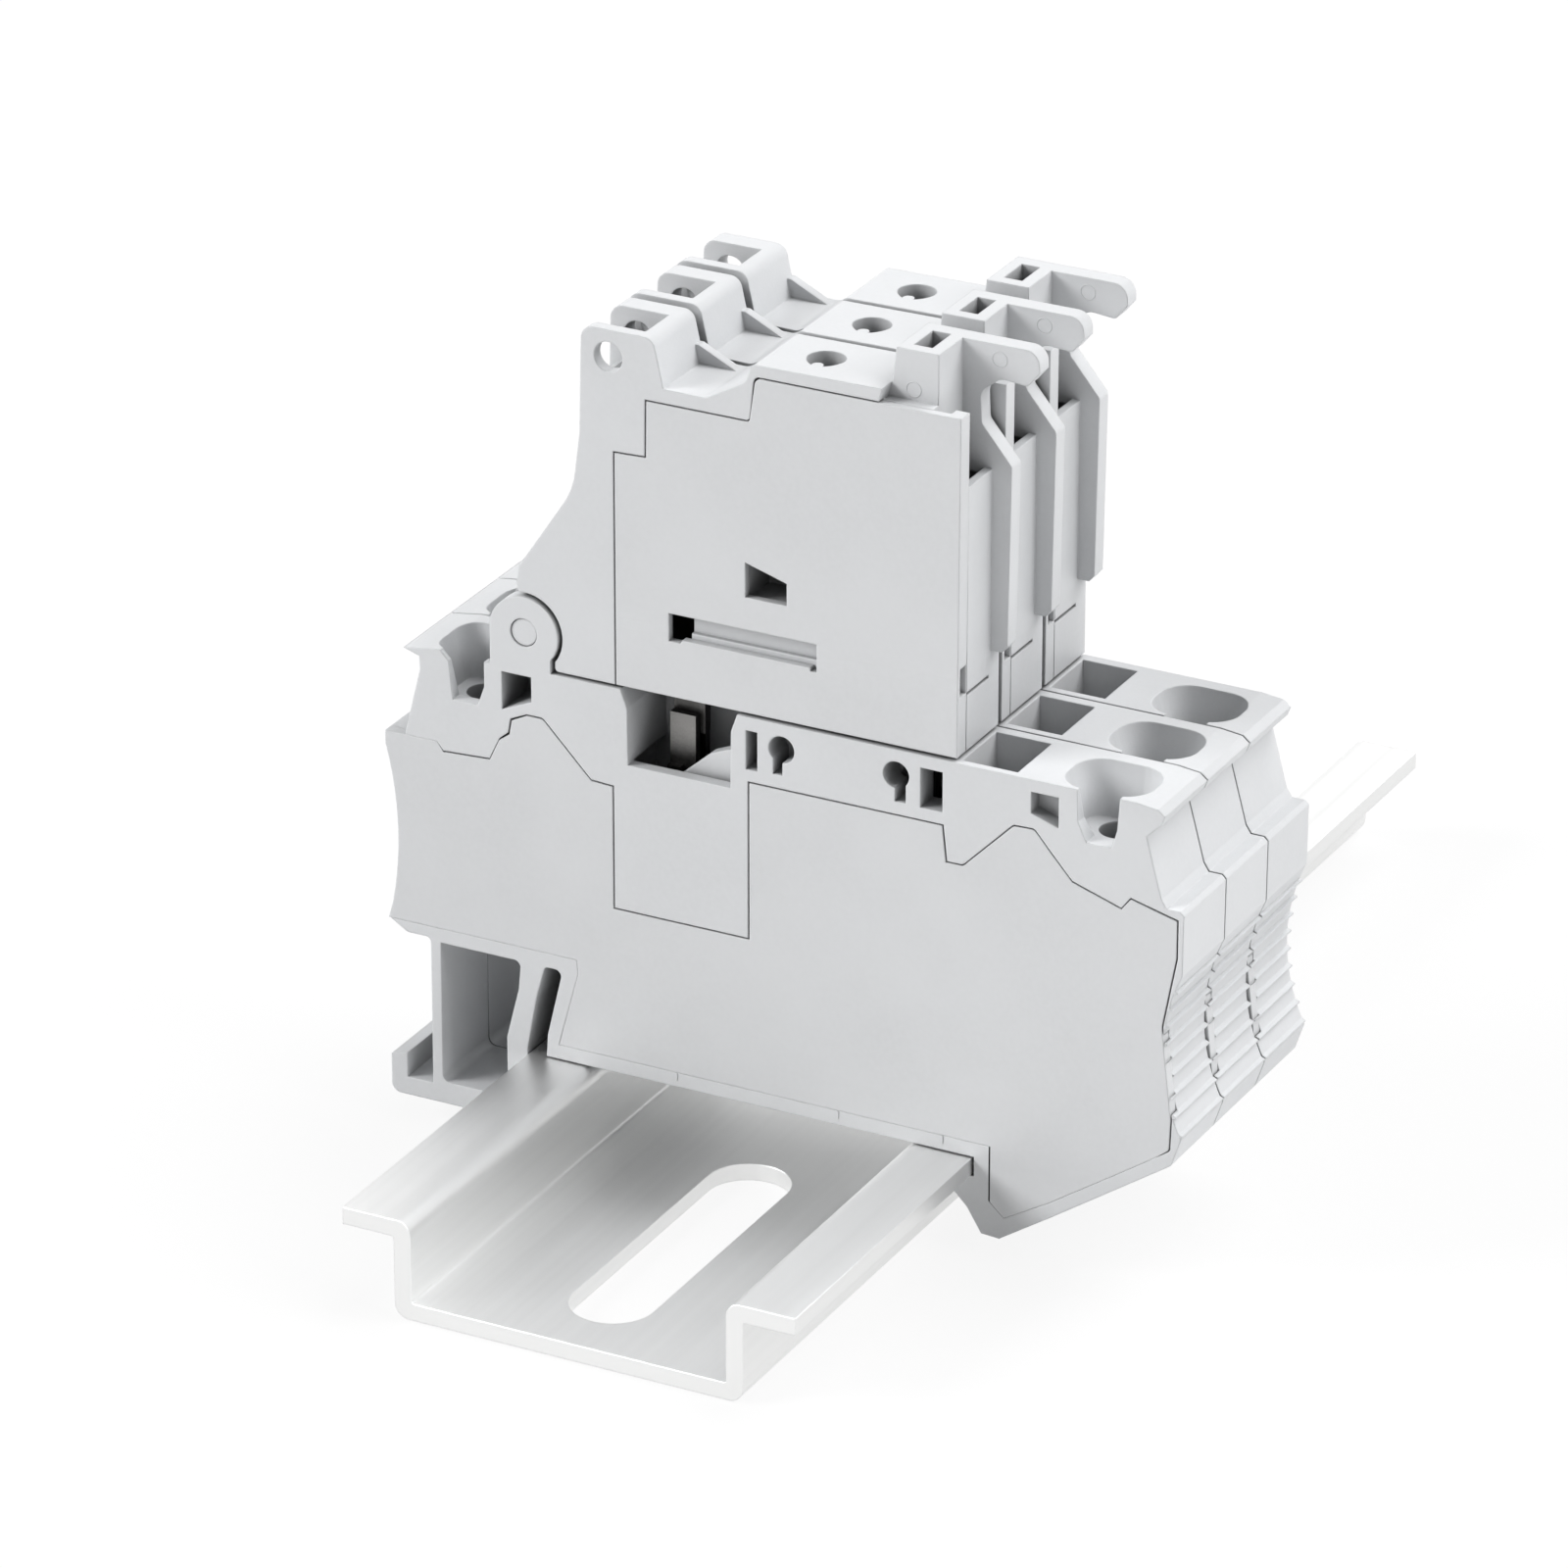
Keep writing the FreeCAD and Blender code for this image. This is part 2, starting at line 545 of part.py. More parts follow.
def make_lever(way):
    lever = Moulding("lever_%d" % (way + 1), way)
    x = -s.pin_left
    low = s.top + s.lever_lift
    lever.pad("body", [loop(lever_outline())], "size.lever_start", "size.lever_width")
    flange_start = "size.lever_start + size.lever_width - size.flange_sheet"
    lever.pad("flange", [loop(flange_outline())], flange_start, "size.flange_sheet")

    # Knuckle between the two ears, with its moulded trunnions
    r = s.ear_radius - s.ear_play
    knuckle = loop([(x - r, s.pin_height), (x - r * 0.707, s.pin_height - r * 0.707, "via"),
                    (x, s.pin_height - r), (x + 2.0, low), (x + 4.0, low), (x + 4.0, 44.0),
                    (x - 0.5, 44.0), (x - r * 0.87, s.pin_height + r * 0.5)])
    lever.pad("knuckle", [knuckle], "size.ear_sheet + size.side_play",
              "size.way_pitch - size.way_gap - 2 * size.ear_sheet - 2 * size.side_play")
    lever.pad("trunnions", [circle(x, s.pin_height, s.pin_radius)], "0.1",
              "size.way_pitch - size.way_gap - 0.2")

    # Front: seat of the cover, and the marker block set back
    seat = lever_cover_outline(0)
    seat[-2:] = [(s.lever_right + 2, 62.7), (s.lever_right + 2, low - 1)]
    seat[0] = (-10.45, low - 1)
    lever.pocket("cover_seat", [loop(seat)], "size.lever_start", "size.lever_sheet")
    setback = loop([(9.95, s.lever_top + 0.1), (10.4, s.block_top + 1),
                    (s.lever_right + 2, s.block_top + 1), (s.lever_right + 2, 62.6), (13.4, 62.6),
                    (13.4, s.lever_top + 0.1)])
    lever.pocket("block_face", [setback], "size.lever_start", "size.block_start - size.lever_start")
    rim = s.lever_right - s.rim_width - 2 * s.seam
    lever.pocket("rim_seat", [rectangle(rim, low - 1, s.lever_right + 2, 57.2)], "size.lever_start",
                 "size.lever_sheet + size.rim_depth + size.seam")
    lever.sink("end_hollow", [rectangle(s.block_right + 0.1, s.lever_start + 1.5, s.lever_right - 0.6,
                                        s.lever_start + s.lever_width - s.flange_sheet)],
               "58", "4")

    # Fuse chamber and the channels of the two contact blades
    play = s.fuse_play
    left = -s.fuse_left - 1.4
    right = -s.fuse_left + s.fuse_length + 1.15
    chamber = rectangle(left, s.fuse_height - s.cap_radius - 1.8, right,
                        s.fuse_height + s.cap_radius + play)
    lever.pocket("fuse_chamber", [chamber], "size.lever_start + size.lever_sheet",
                 "size.lever_width - size.lever_sheet - size.lever_wall")
    channels = [rectangle(left, low - 1, left + s.blade_width + 0.3, s.fuse_height - s.cap_radius - 1.0),
                rectangle(right - s.blade_width - 1.6, low - 1, right - 1.1,
                          s.fuse_height - s.cap_radius - 1.0)]
    blade_back = "(size.lever_width + size.blade_sheet) / 2 - size.lever_sheet + 0.1"
    lever.pocket("blade_channels", channels, "size.lever_start + size.lever_sheet", blade_back)
    lever.pocket("window_well", [rectangle(-0.3, 46.0, 2.9, 48.8)], "size.lever_start + size.lever_sheet",
                 "3")
    lever.pocket("finger_hole", [rectangle(-6.1, 41.8, -5.15, 43.85), rectangle(0.1, 43.6, 2.0, 43.95)],
                 "size.lever_start + size.lever_sheet", "2.5")
    lever.pocket("finger_floor", [rectangle(-5.2, 42.4, 5.2, 43.85)],
                 "size.lever_start + size.lever_sheet", "0.35")

    # Top: test socket, marker slot, lock eye and the gusset behind the saddle
    middle = s.lever_start + s.lever_width / 2
    test = loop([(4.3 - s.test_hole, middle), (4.3, middle + s.test_hole, "via"),
                 (4.3 + s.test_hole, middle), (4.3 + 0.9, middle - s.test_hole * 0.72, "via"),
                 (4.3 + 0.4, middle - s.test_hole), (4.3, middle - s.test_hole * 0.6, "via"),
                 (4.3 - 0.4, middle - s.test_hole), (4.3 - 0.9, middle - s.test_hole * 0.72, "via")])
    lever.sink("test_socket", [test], "size.lever_top + 1", "6.5")
    lever.sink("marker_slot", [rectangle(11.35, 2.5, 12.75, 5.3)], "size.block_top + 1", "5.5")
    eye_left = -s.eye_left - 0.85
    pocket = loop([(eye_left, 65), (eye_left, 61.35), (eye_left + 0.95, 60.4), (eye_pocket_right(), 60.4),
                   (eye_pocket_right(), 65)])
    lever.pocket("eye_pocket", [pocket], "1.05", "3.35")
    lever.pocket("eye", [circle(-s.eye_left, s.eye_height, s.eye_radius)], "-1", "10")
    lever.pocket("eye_back", [rectangle(-14, 60.9, -6.55, 65)], "size.lever_start + size.lever_width - 0.4",
                 "1")
    gusset = loop([(-7.0, 60.2), (-7.0, 61.8), (-6.5, 61.8), (-3.2, 60.2)])
    lever.pad("gusset", [gusset], "size.lever_start + size.lever_width - 1.15", "0.75")

    # End face: snap line above the foot of the lever
    lever.pocket("snap_line", [rectangle(s.lever_right - 0.4, 41.7, s.lever_right + 1, 41.95)],
                 "1.5", "3.4")


def make_lever_cover(way):
    cover = Moulding("lever_cover_%d" % (way + 1), way)
    low = s.top + s.lever_lift
    cover.pad("plate", [loop(lever_cover_outline(s.seam))], "size.lever_start", "size.lever_sheet")
    right = s.lever_right
    rim = loop([(right - s.rim_width, low), (right - s.rim_width, 62.7 - s.seam),
                (right + 0.1, 62.7 - s.seam), (right, low)])
    cover.pad("rim", [rim], "size.lever_start + size.lever_sheet", "size.rim_depth")
    window = loop([(-0.25, 46.25), (-0.25, 48.85), (2.95, 47.9), (2.95, 46.25)])
    slot = loop([(-6.2, 41.75), (-6.2, 43.85), (5.25, 43.85), (5.25, 41.75), (4.75, 41.75),
                 (4.75, 42.0), (-5.15, 42.0), (-5.3, 41.75)])
    cover.pocket("windows", [window, slot], "0", "2")
    notch = loop([(right - 0.45, 42.0), (right - 0.6, 43.1), (right - 0.45, 44.1), (right + 1, 44.1),
                  (right + 1, 42.0)])
    cover.pocket("edge_notch", [notch], "size.lever_start + 0.3", "0.9")


# Cartridge fuse

def along_way(label, name, radius, length, start):
    """A cylinder along the way on the fuse axis, from start."""
    tube = doc.addObject("Part::Cylinder", "_".join(word for word in (label, name) if word))
    tube.setExpression("Radius", radius)
    tube.setExpression("Height", length)
    tube.Placement = FreeCAD.Placement(FreeCAD.Vector(0, 0, 0), FreeCAD.Rotation(0, 90, 0))
    tube.setExpression("Placement.Base.x", start)
    tube.setExpression("Placement.Base.z", "size.fuse_height")
    return tube


def at_way(shape, way):
    """Sets a fuse piece in the middle of its lever."""
    place = "size.ways_start - size.rail_length / 2 + size.way_pitch * %d" % way
    shape.setExpression("Placement.Base.y", place + " + size.lever_start + size.lever_sheet"
                        " + size.fuse_play + size.cap_radius")


def make_fuse(way):
    number = way + 1
    glass = "fuse_glass_%d" % number
    clear = "size.fuse_length - 2 * size.cap_length"
    start = "-size.fuse_left + size.cap_length"
    outside = along_way(glass, "outside", "size.glass_radius", clear, start)
    inside = along_way(glass, "inside", "size.glass_radius - size.glass_sheet", clear, start)
    part = doc.addObject("Part::Cut", glass)
    part.Base = outside
    part.Tool = inside
    at_way(part, way)
    nodes.append((glass, part))
    for side, start in (("left", "-size.fuse_left"),
                        ("right", "-size.fuse_left + size.fuse_length - size.cap_length")):
        cap = "fuse_cap_%s_%d" % (side, number)
        shape = along_way(cap, "", "size.cap_radius", "size.cap_length", start)
        at_way(shape, way)
        nodes.append((cap, shape))
    label = "fuse_wire_%d" % number
    wire = doc.addObject("Part::Box", label)
    wire.Label = label
    wire.setExpression("Length", "size.fuse_length - 2 * size.cap_length")
    wire.setExpression("Width", "size.wire")
    wire.setExpression("Height", "size.wire")
    wire.setExpression("Placement.Base.x", "-size.fuse_left + size.cap_length")
    wire.setExpression("Placement.Base.z", "size.fuse_height - size.wire / 2")
    at_way(wire, way)
    nodes.append((label, wire))


# Current path: lever contacts, current bars with forks, clamp springs

def make_lever_contacts(way):
    play = s.fuse_play
    top = s.fuse_height - s.cap_radius - play
    arm = s.fuse_height + 1.5
    left_end = -s.fuse_left - play
    right_end = -s.fuse_left + s.fuse_length + play
    left = [(left_end - 1.2, s.blade_foot), (left_end - 1.2, arm), (left_end, arm), (left_end, top),
            (left_end + 4.6, top), (left_end + 4.6, top - 1.5),
            (left_end - 1.2 + s.blade_width, top - 1.5), (left_end - 1.2 + s.blade_width, s.blade_foot)]
    blade = right_end - 0.3
    right = [(blade - s.blade_width, s.blade_foot), (blade - s.blade_width, top - 1.5),
             (right_end - 4.6, top - 1.5), (right_end - 4.6, top), (right_end, top),
             (right_end, arm), (right_end + 0.9, arm), (right_end + 0.9, top - 1.5),
             (blade, top - 1.5), (blade, s.blade_foot)]
    for side, outline in (("left", left), ("right", right)):
        contact = Moulding("lever_contact_%s_%d" % (side, way + 1), way)
        contact.pad("blade", [loop(outline)],
                    "size.lever_start + (size.lever_width - size.blade_sheet) / 2", "size.blade_sheet")


def make_current_bars(way):
    low = s.bar_floor + s.bar_sheet / 2
    half = s.bar_sheet / 2
    left_fork = -s.fuse_left - s.fuse_play - 1.2
    right_fork = -s.fuse_left + s.fuse_length + s.fuse_play - 0.3 - s.blade_width
    paths = {
        "left": [(-24.2, 27.8), (-24.2, low), (left_fork + half, low), (left_fork + half, 31.5)],
        "right": [(29.0, 27.2), (29.0, low), (right_fork + half, low), (right_fork + half, 31.0)],
    }
    middle = "size.lever_start + size.lever_width / 2"
    for side, path in paths.items():
        bar = Moulding("current_bar_%s_%d" % (side, way + 1), way)
        bar.pad("strip", [strip(path, s.bar_sheet)], middle + " - size.bar_width / 2", "size.bar_width")
        fork = left_fork if side == "left" else right_fork
        tongue = rectangle(fork, 29.0, fork + 2.0, 35.4)
        gap = "(size.blade_sheet / 2 + size.fuse_play)"
        bar.pad("tongue_front", [tongue], middle + " - " + gap + " - size.fork_sheet", "size.fork_sheet")
        bar.pad("tongue_back", [tongue], middle + " + " + gap, "size.fork_sheet")


def make_clamp_springs(way):
    seat = s.bar_floor + s.bar_sheet + s.spring_sheet / 2 + 0.05
    paths = {
        "left": [(-19.5, seat), (-17.0, seat), (-16.4, seat + 0.6), (-16.4, 27.0), (-17.2, 27.7),
                 (-18.8, 27.7), (-19.8, 27.0), (-23.3, 21.4)],
        "right": [(24.3, seat), (21.8, seat), (21.2, seat + 0.6), (21.2, 26.6), (22.0, 27.3),
                  (23.6, 27.3), (24.6, 26.6), (28.15, 21.4)],
    }
    for side, path in paths.items():
        spring = Moulding("clamp_spring_%s_%d" % (side, way + 1), way)
        spring.pad("leaf", [strip(path, s.spring_sheet)],
                   "size.lever_start + (size.lever_width - size.spring_width) / 2", "size.spring_width")


def repeat(way):
    """Further ways: the same mouldings and metal pieces, set along the rail."""
    for label, body in first_way:
        Moulding("%s_%d" % (label[:-2], way + 1), way).body.BaseFeature = body


make_rail()
start = len(nodes)
make_housing(0)
make_side_cover(0)
make_lever(0)
make_lever_cover(0)
make_lever_contacts(0)
make_current_bars(0)
make_clamp_springs(0)
first_way = nodes[start:]
for way in range(1, WAYS):
    repeat(way)
for way in range(WAYS):
    make_fuse(way)
doc.recompute()

for item in doc.Objects:
    if "Invalid" in item.State or "Error" in item.State:
        raise RuntimeError("%s failed: %s" % (item.Name, item.State))
for label, item in nodes:
    shape = item.Shape
    if shape.isNull() or not shape.isValid():
        raise RuntimeError("%s has no valid shape" % label)
    if len(shape.Solids) != 1:
        raise RuntimeError("%s has %d solids" % (label, len(shape.Solids)))

os.makedirs("parts", exist_ok=True)
for label, item in nodes:
    item.Shape.exportStep("parts/%s.step" % label)
print("%d pieces written" % len(nodes))
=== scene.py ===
"""Looks of a fuse terminal block: three grey fuse ways on a slotted aluminium rail.

X runs along each way, Y along the rail and Z up. Sizes are in metres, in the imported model's frame.
"""

import math

import bmesh
import bpy
from mathutils import Matrix, Vector


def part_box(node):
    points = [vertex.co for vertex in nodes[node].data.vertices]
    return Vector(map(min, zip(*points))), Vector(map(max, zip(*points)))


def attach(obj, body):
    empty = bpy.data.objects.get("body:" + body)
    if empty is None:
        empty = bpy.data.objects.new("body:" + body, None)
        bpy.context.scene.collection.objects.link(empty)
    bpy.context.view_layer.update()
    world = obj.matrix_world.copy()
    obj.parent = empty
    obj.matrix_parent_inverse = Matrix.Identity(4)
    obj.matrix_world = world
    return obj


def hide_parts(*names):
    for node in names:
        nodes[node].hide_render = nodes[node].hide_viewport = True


bl_info = {
    "name": "Fuse terminal block",
    "version": (1, 0, 0),
    "blender": (4, 5, 0),
    "location": "View3D > Sidebar > Terminal",
    "description": "Finishes the mouldings, metalwork and fuses of a fuse terminal block",
    "category": "Add Mesh",
}

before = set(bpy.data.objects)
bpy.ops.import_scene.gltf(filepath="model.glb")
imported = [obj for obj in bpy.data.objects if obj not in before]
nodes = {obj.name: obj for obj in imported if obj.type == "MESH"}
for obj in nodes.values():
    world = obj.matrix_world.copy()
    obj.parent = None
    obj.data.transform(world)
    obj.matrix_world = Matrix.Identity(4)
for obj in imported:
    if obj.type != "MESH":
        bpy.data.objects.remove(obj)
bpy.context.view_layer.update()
WAYS = range(1, 1 + sum(name.startswith("housing_") for name in nodes))

# Finishes. A noise scale is one over the size of its patches in metres.

EDGE_SAMPLES = 4            # rays that look for an edge to round
EDGE_START = 0.999          # cosine between rounded and flat face where the painted highlight of an edge starts
EDGE_FULL = 0.86            # and where it is full
RECESS_SAMPLES = 6          # rays that look for the walls of a recess, for its painted shade
PLASTIC_CLOUDS = 90         # slow change of the plastic's grey
PLASTIC_SPECKLE = 2600      # its grain in the colour
PLASTIC_FLOW = 160          # slow change of its gloss
PLASTIC_GRAIN = 5200        # relief of the moulded surface
PLASTIC_GRAIN_DEPTH = 0.000012
PLASTIC_SPECULAR = 0.42
EDGE_HIGHLIGHT = 1.28           # painted highlight on the plastic's edges, as a share of its colour
RECESS_SHADE = 0.3          # painted shade in the depths of its recesses, the same way
RECESS_REACH = 0.005        # how far a recess looks for walls, for its painted shade
RAIL_LINES = 1500           # drawing lines along the rail
RAIL_PATCHES = 60           # its duller patches
RAIL_EDGE = 0.00015         # rounding of its edges
# painted highlight: the colour that the rail's rounded edges go towards
RAIL_HIGHLIGHT_COLOUR = (0.95, 0.95, 0.95)
RAIL_METALLIC = 0.95
METAL_MARKS = 2200          # rolling marks
METAL_SMUDGES = 220         # handling smudges
METAL_REACH = 0.012         # how far buried metal looks for walls, for its painted shade
METAL_SHADE = 0.08          # painted shade on buried metal, as a share of its colour
LINE_DEPTH = 0.00001        # relief of drawing lines and rolling marks
GLASS_STREAKS = 700         # drawing streaks of the glass
GLASS_TINTS = ((0.93, 0.97, 0.96), (0.98, 1.0, 0.99))
GLASS_INDEX = 1.47
TINNED_ROUGHNESS = 0.34
SPRING_ROUGHNESS = 0.28
CAP_COLOUR = (0.72, 0.71, 0.68)
CAP_ROUGHNESS = 0.2
WIRE_COLOUR = (0.75, 0.75, 0.76)
WIRE_ROUGHNESS = 0.3
CREASE_SLOPE = 0.026        # rise of the lever covers' crease to the right
CREASE_WIDTH = 0.0008       # height of the band in which it turns

# Forms, in the model's frame: outlines and spots are in X and Z

SHARP_ANGLE = 25            # degrees, past which an edge stays sharp
MERGE_WITHIN = 0.000001     # corners closer than this are one
COVER_SEAM = 0.00012        # gap round a side cover
RIM_TOP = 0.0165            # below this height, a side cover's rim closes on the housing
RIM_RIGHT = 0.0315          # and only left of this
RIM_GAP = 0.000005          # what is left of the seam there
RIM_LEAN = 0.2              # a rim face's normal leans less than this along Y
CUT_START = 0.0002          # where a cutter starts in front of the housing
EYE_SHEET = 0.00105         # sheet in front of the lock eye's pocket
EYE_BACK = 0.0044           # where the pocket ends
EYE_OUTLINE = ((-0.014, 0.0588), (-0.011, 0.0605), (-0.011, 0.067), (-0.014, 0.067))
BLOCK_SETBACK = 0.0016      # face of the marker block behind the front of the housing
BLOCK_OUTLINE = ((0.0099, 0.0626), (0.01017, 0.06375), (0.0139, 0.06375), (0.0139, 0.0626))
BLOCK_RING = (0.0118, 0.0634)
FLANGE_SETBACK = 0.0051     # face of the finger flange behind the front of the housing
FLANGE_RING = (0.01649, 0.06518)
MARK_EDGE = 0.00003         # rounding of the rings' and nibs' edges
NIB_SPOTS = ((-0.00568, 0.0084), (0.00704, 0.0084), (0.01518, 0.0084))
RING_STEPS = 40             # round a ring
BEAD_STEPS = 8              # round its bead
WIRE_STEPS = 24             # along a fuse wire
WIRE_SIDES = 12             # round it

# Stage

FLOOR_SIZE = 3.0
FLOOR_PATCHES = 30          # noise scale of its paper
FLOOR_SHADE = 0.985         # the paper's darker patches, as a share of its colour
FLOOR_ROUGHNESS = 0.9
FLOOR_DROP = 0.0001         # the floor lies this far under the block
KEY_TOWARDS = (-0.7, -0.5, 0.5)
KEY_WIDTH = 28              # degrees that the light spans
SIDE_TOWARDS = (0.78, 0.06, 0.55)
SIDE_WIDTH = 40             # degrees
BACK_TOWARDS = (0.28, 0.42, 0.86)
BACK_WIDTH = 40             # degrees
CAMERA_AZIMUTH = 0.4804376  # radians, from the front towards the right
CAMERA_ELEVATION = 0.4363049
CAMERA_PLACE = (0.2699637, -0.5370875, 0.3024288)
CAMERA_LENS = 212.926       # millimetres, on the sensor below
CAMERA_SENSOR = 36
CAMERA_NEAR = 0.05
CAMERA_FAR = 20


# Settings

class MouldingSettings(bpy.types.PropertyGroup):
    shell_colour: bpy.props.FloatVectorProperty(
        name="Housing colour", description="Grey of the housings and levers", subtype="COLOR",
        size=3, min=0, max=1, default=(0.6, 0.609, 0.621))
    cover_colour: bpy.props.FloatVectorProperty(
        name="Cover colour", description="Grey of the inlaid covers", subtype="COLOR",
        size=3, min=0, max=1, default=(0.59, 0.598, 0.609))
    roughness: bpy.props.FloatProperty(
        name="Roughness", description="Roughness of the moulded surface", subtype="FACTOR",
        min=0, max=1, default=0.42)
    edge_radius: bpy.props.FloatProperty(
        name="Edge radius", description="Rounding of the moulded edges", subtype="DISTANCE",
        unit="LENGTH", min=0, default=0.00018)
    crease_height: bpy.props.FloatProperty(
        name="Crease height", description="Height of the lever covers' crease at the rail's middle",
        subtype="DISTANCE", unit="LENGTH", min=0, default=0.04265)
    crease_rise: bpy.props.FloatProperty(
        name="Crease rise", description="How far the part below the crease stands out",
        subtype="DISTANCE", unit="LENGTH", min=0, default=0.00014)


class MarkSettings(bpy.types.PropertyGroup):
    ring_radius: bpy.props.FloatProperty(
        name="Ejector ring radius", description="Radius of the rings that the ejector pins leave",
        subtype="DISTANCE", unit="LENGTH", min=0, default=0.00055)
    ring_bead: bpy.props.FloatProperty(
        name="Ejector ring bead", description="Half thickness of the ring's bead",
        subtype="DISTANCE", unit="LENGTH", min=0, default=0.00004)
    nib_width: bpy.props.FloatProperty(
        name="Gate nib width", description="Width of the nibs along the lower rim",
        subtype="DISTANCE", unit="LENGTH", min=0, default=0.00012)
    nib_height: bpy.props.FloatProperty(
        name="Gate nib height", description="Height of the nibs along the lower rim",
        subtype="DISTANCE", unit="LENGTH", min=0, default=0.0006)
    nib_proud: bpy.props.FloatProperty(
        name="Gate nib rise", description="How far the nibs stand out", subtype="DISTANCE",
        unit="LENGTH", min=0, max=0.00008, default=0.00005)


class RailSettings(bpy.types.PropertyGroup):
    colour: bpy.props.FloatVectorProperty(
        name="Rail colour", description="Colour of the anodised aluminium", subtype="COLOR",
        size=3, min=0, max=1, default=(0.83, 0.832, 0.828))
    roughness: bpy.props.FloatProperty(
        name="Roughness", description="Roughness of the drawn faces", subtype="FACTOR",
        min=0, max=1, default=0.4)


class MetalSettings(bpy.types.PropertyGroup):
    contact_colour: bpy.props.FloatVectorProperty(
        name="Contact colour", description="Tinned copper of bars and blades", subtype="COLOR",
        size=3, min=0, max=1, default=(0.5, 0.49, 0.475))
    spring_colour: bpy.props.FloatVectorProperty(
        name="Spring colour", description="Stainless clamp springs", subtype="COLOR",
        size=3, min=0, max=1, default=(0.55, 0.56, 0.58))


class FuseSettings(bpy.types.PropertyGroup):
    wire_radius: bpy.props.FloatProperty(
        name="Wire radius", description="Half thickness of the fuse wire", subtype="DISTANCE",
        unit="LENGTH", min=0, default=0.0001)
    wire_sag: bpy.props.FloatProperty(
        name="Wire sag", description="Dip of the fuse wire at its middle", subtype="DISTANCE",
        unit="LENGTH", min=0, default=0.00035)


class StageSettings(bpy.types.PropertyGroup):
    floor_colour: bpy.props.FloatVectorProperty(
        name="Floor colour", description="Pale floor under the block", subtype="COLOR",
        size=3, min=0, max=1, default=(0.8, 0.8, 0.8))
    key_strength: bpy.props.FloatProperty(
        name="Key light", description="Strength of the soft light from the front left",
        min=0, default=2.65)
    side_strength: bpy.props.FloatProperty(
        name="Side light", description="Strength of the soft light from the right",
        min=0, default=1.38)
    back_strength: bpy.props.FloatProperty(
        name="Back light", description="Strength of the soft light from above the back",
        min=0, default=2.25)
    sky_strength: bpy.props.FloatProperty(
        name="Sky light", description="Strength of the even sky light",
        min=0, default=0.14)
    floor_glow: bpy.props.FloatProperty(
        name="Floor white", description="Share of plain white that the camera sees in the floor",
        subtype="FACTOR", min=0, max=1, default=0.88)


# Material helpers

def new_material(name):
    """An empty node material with its shader and output."""
    material = bpy.data.materials.new(name)
    material.use_nodes = True
    tree = material.node_tree
    tree.nodes.clear()
    output = tree.nodes.new("ShaderNodeOutputMaterial")
    shader = tree.nodes.new("ShaderNodeBsdfPrincipled")
    tree.links.new(shader.outputs["BSDF"], output.inputs["Surface"])
    place = tree.nodes.new("ShaderNodeTexCoord")
    return material, tree, shader, place.outputs["Object"]


def noise(tree, place, scale, detail=2.0, stretch=(1, 1, 1)):
    """Noise in object space. Its patches are longer along an axis with a smaller stretch."""
    mapping = tree.nodes.new("ShaderNodeMapping")
    mapping.inputs["Scale"].default_value = stretch
    tree.links.new(place, mapping.inputs["Vector"])
    texture = tree.nodes.new("ShaderNodeTexNoise")
    texture.inputs["Scale"].default_value = scale
    texture.inputs["Detail"].default_value = detail
    tree.links.new(mapping.outputs["Vector"], texture.inputs["Vector"])
    return texture.outputs["Fac"]


def ramp(tree, value, low, high, start=0.0, end=1.0):
    """Maps a value from low..high onto start..end, clamped."""
    node = tree.nodes.new("ShaderNodeMapRange")
    node.inputs["From Min"].default_value = low
    node.inputs["From Max"].default_value = high
    node.inputs["To Min"].default_value = start
    node.inputs["To Max"].default_value = end
    tree.links.new(value, node.inputs["Value"])
    return node.outputs["Result"]


def blend_colours(tree, factor, first, second):
    """Mixes two colours; either may be a fixed colour or a socket."""
    node = tree.nodes.new("ShaderNodeMix")
    node.data_type = "RGBA"
    tree.links.new(factor, node.inputs["Factor"])
    for name, colour in (("A", first), ("B", second)):
        socket = [s for s in node.inputs if s.name == name and s.type == "RGBA"][0]
        if isinstance(colour, bpy.types.NodeSocket):
            tree.links.new(colour, socket)
        else:
            socket.default_value = (*colour, 1)
    return [s for s in node.outputs if s.type == "RGBA"][0]


def bump(tree, height, distance, strength=1.0, normal=None):
    """Surface relief of the given depth in metres."""
    node = tree.nodes.new("ShaderNodeBump")
    node.inputs["Distance"].default_value = distance
    node.inputs["Strength"].default_value = strength
    tree.links.new(height, node.inputs["Height"])
    if normal is not None:
        tree.links.new(normal, node.inputs["Normal"])
    return node.outputs["Normal"]


def ray_mask(tree):
    """One for rays from the camera, and for those that reach it through metal or glass."""
    path = tree.nodes.new("ShaderNodeLightPath")
    mask = path.outputs["Is Camera Ray"]
    for name in ("Is Transmission Ray", "Is Glossy Ray"):
        widest = tree.nodes.new("ShaderNodeMath")
        widest.operation = "MAXIMUM"
        tree.links.new(mask, widest.inputs[0])
        tree.links.new(path.outputs[name], widest.inputs[1])
        mask = widest.outputs["Value"]
    return mask


def shade_of(colour, factor):
    """A colour made paler or darker by a factor."""
    return tuple(min(1.0, part * factor) for part in colour)


def edge_line(tree, radius):
    """Rounded normal at edges, and how far it leaves the flat face, which masks a painted edge
    highlight.
    """
    rounded = tree.nodes.new("ShaderNodeBevel")
    rounded.samples = EDGE_SAMPLES
    rounded.inputs["Radius"].default_value = radius
    flat = tree.nodes.new("ShaderNodeNewGeometry")
    cosine = tree.nodes.new("ShaderNodeVectorMath")
    cosine.operation = "DOT_PRODUCT"
    tree.links.new(rounded.outputs["Normal"], cosine.inputs[0])
    tree.links.new(flat.outputs["Normal"], cosine.inputs[1])
    edge_highlight = ramp(tree, cosine.outputs["Value"], EDGE_START, EDGE_FULL)
    return rounded.outputs["Normal"], edge_highlight


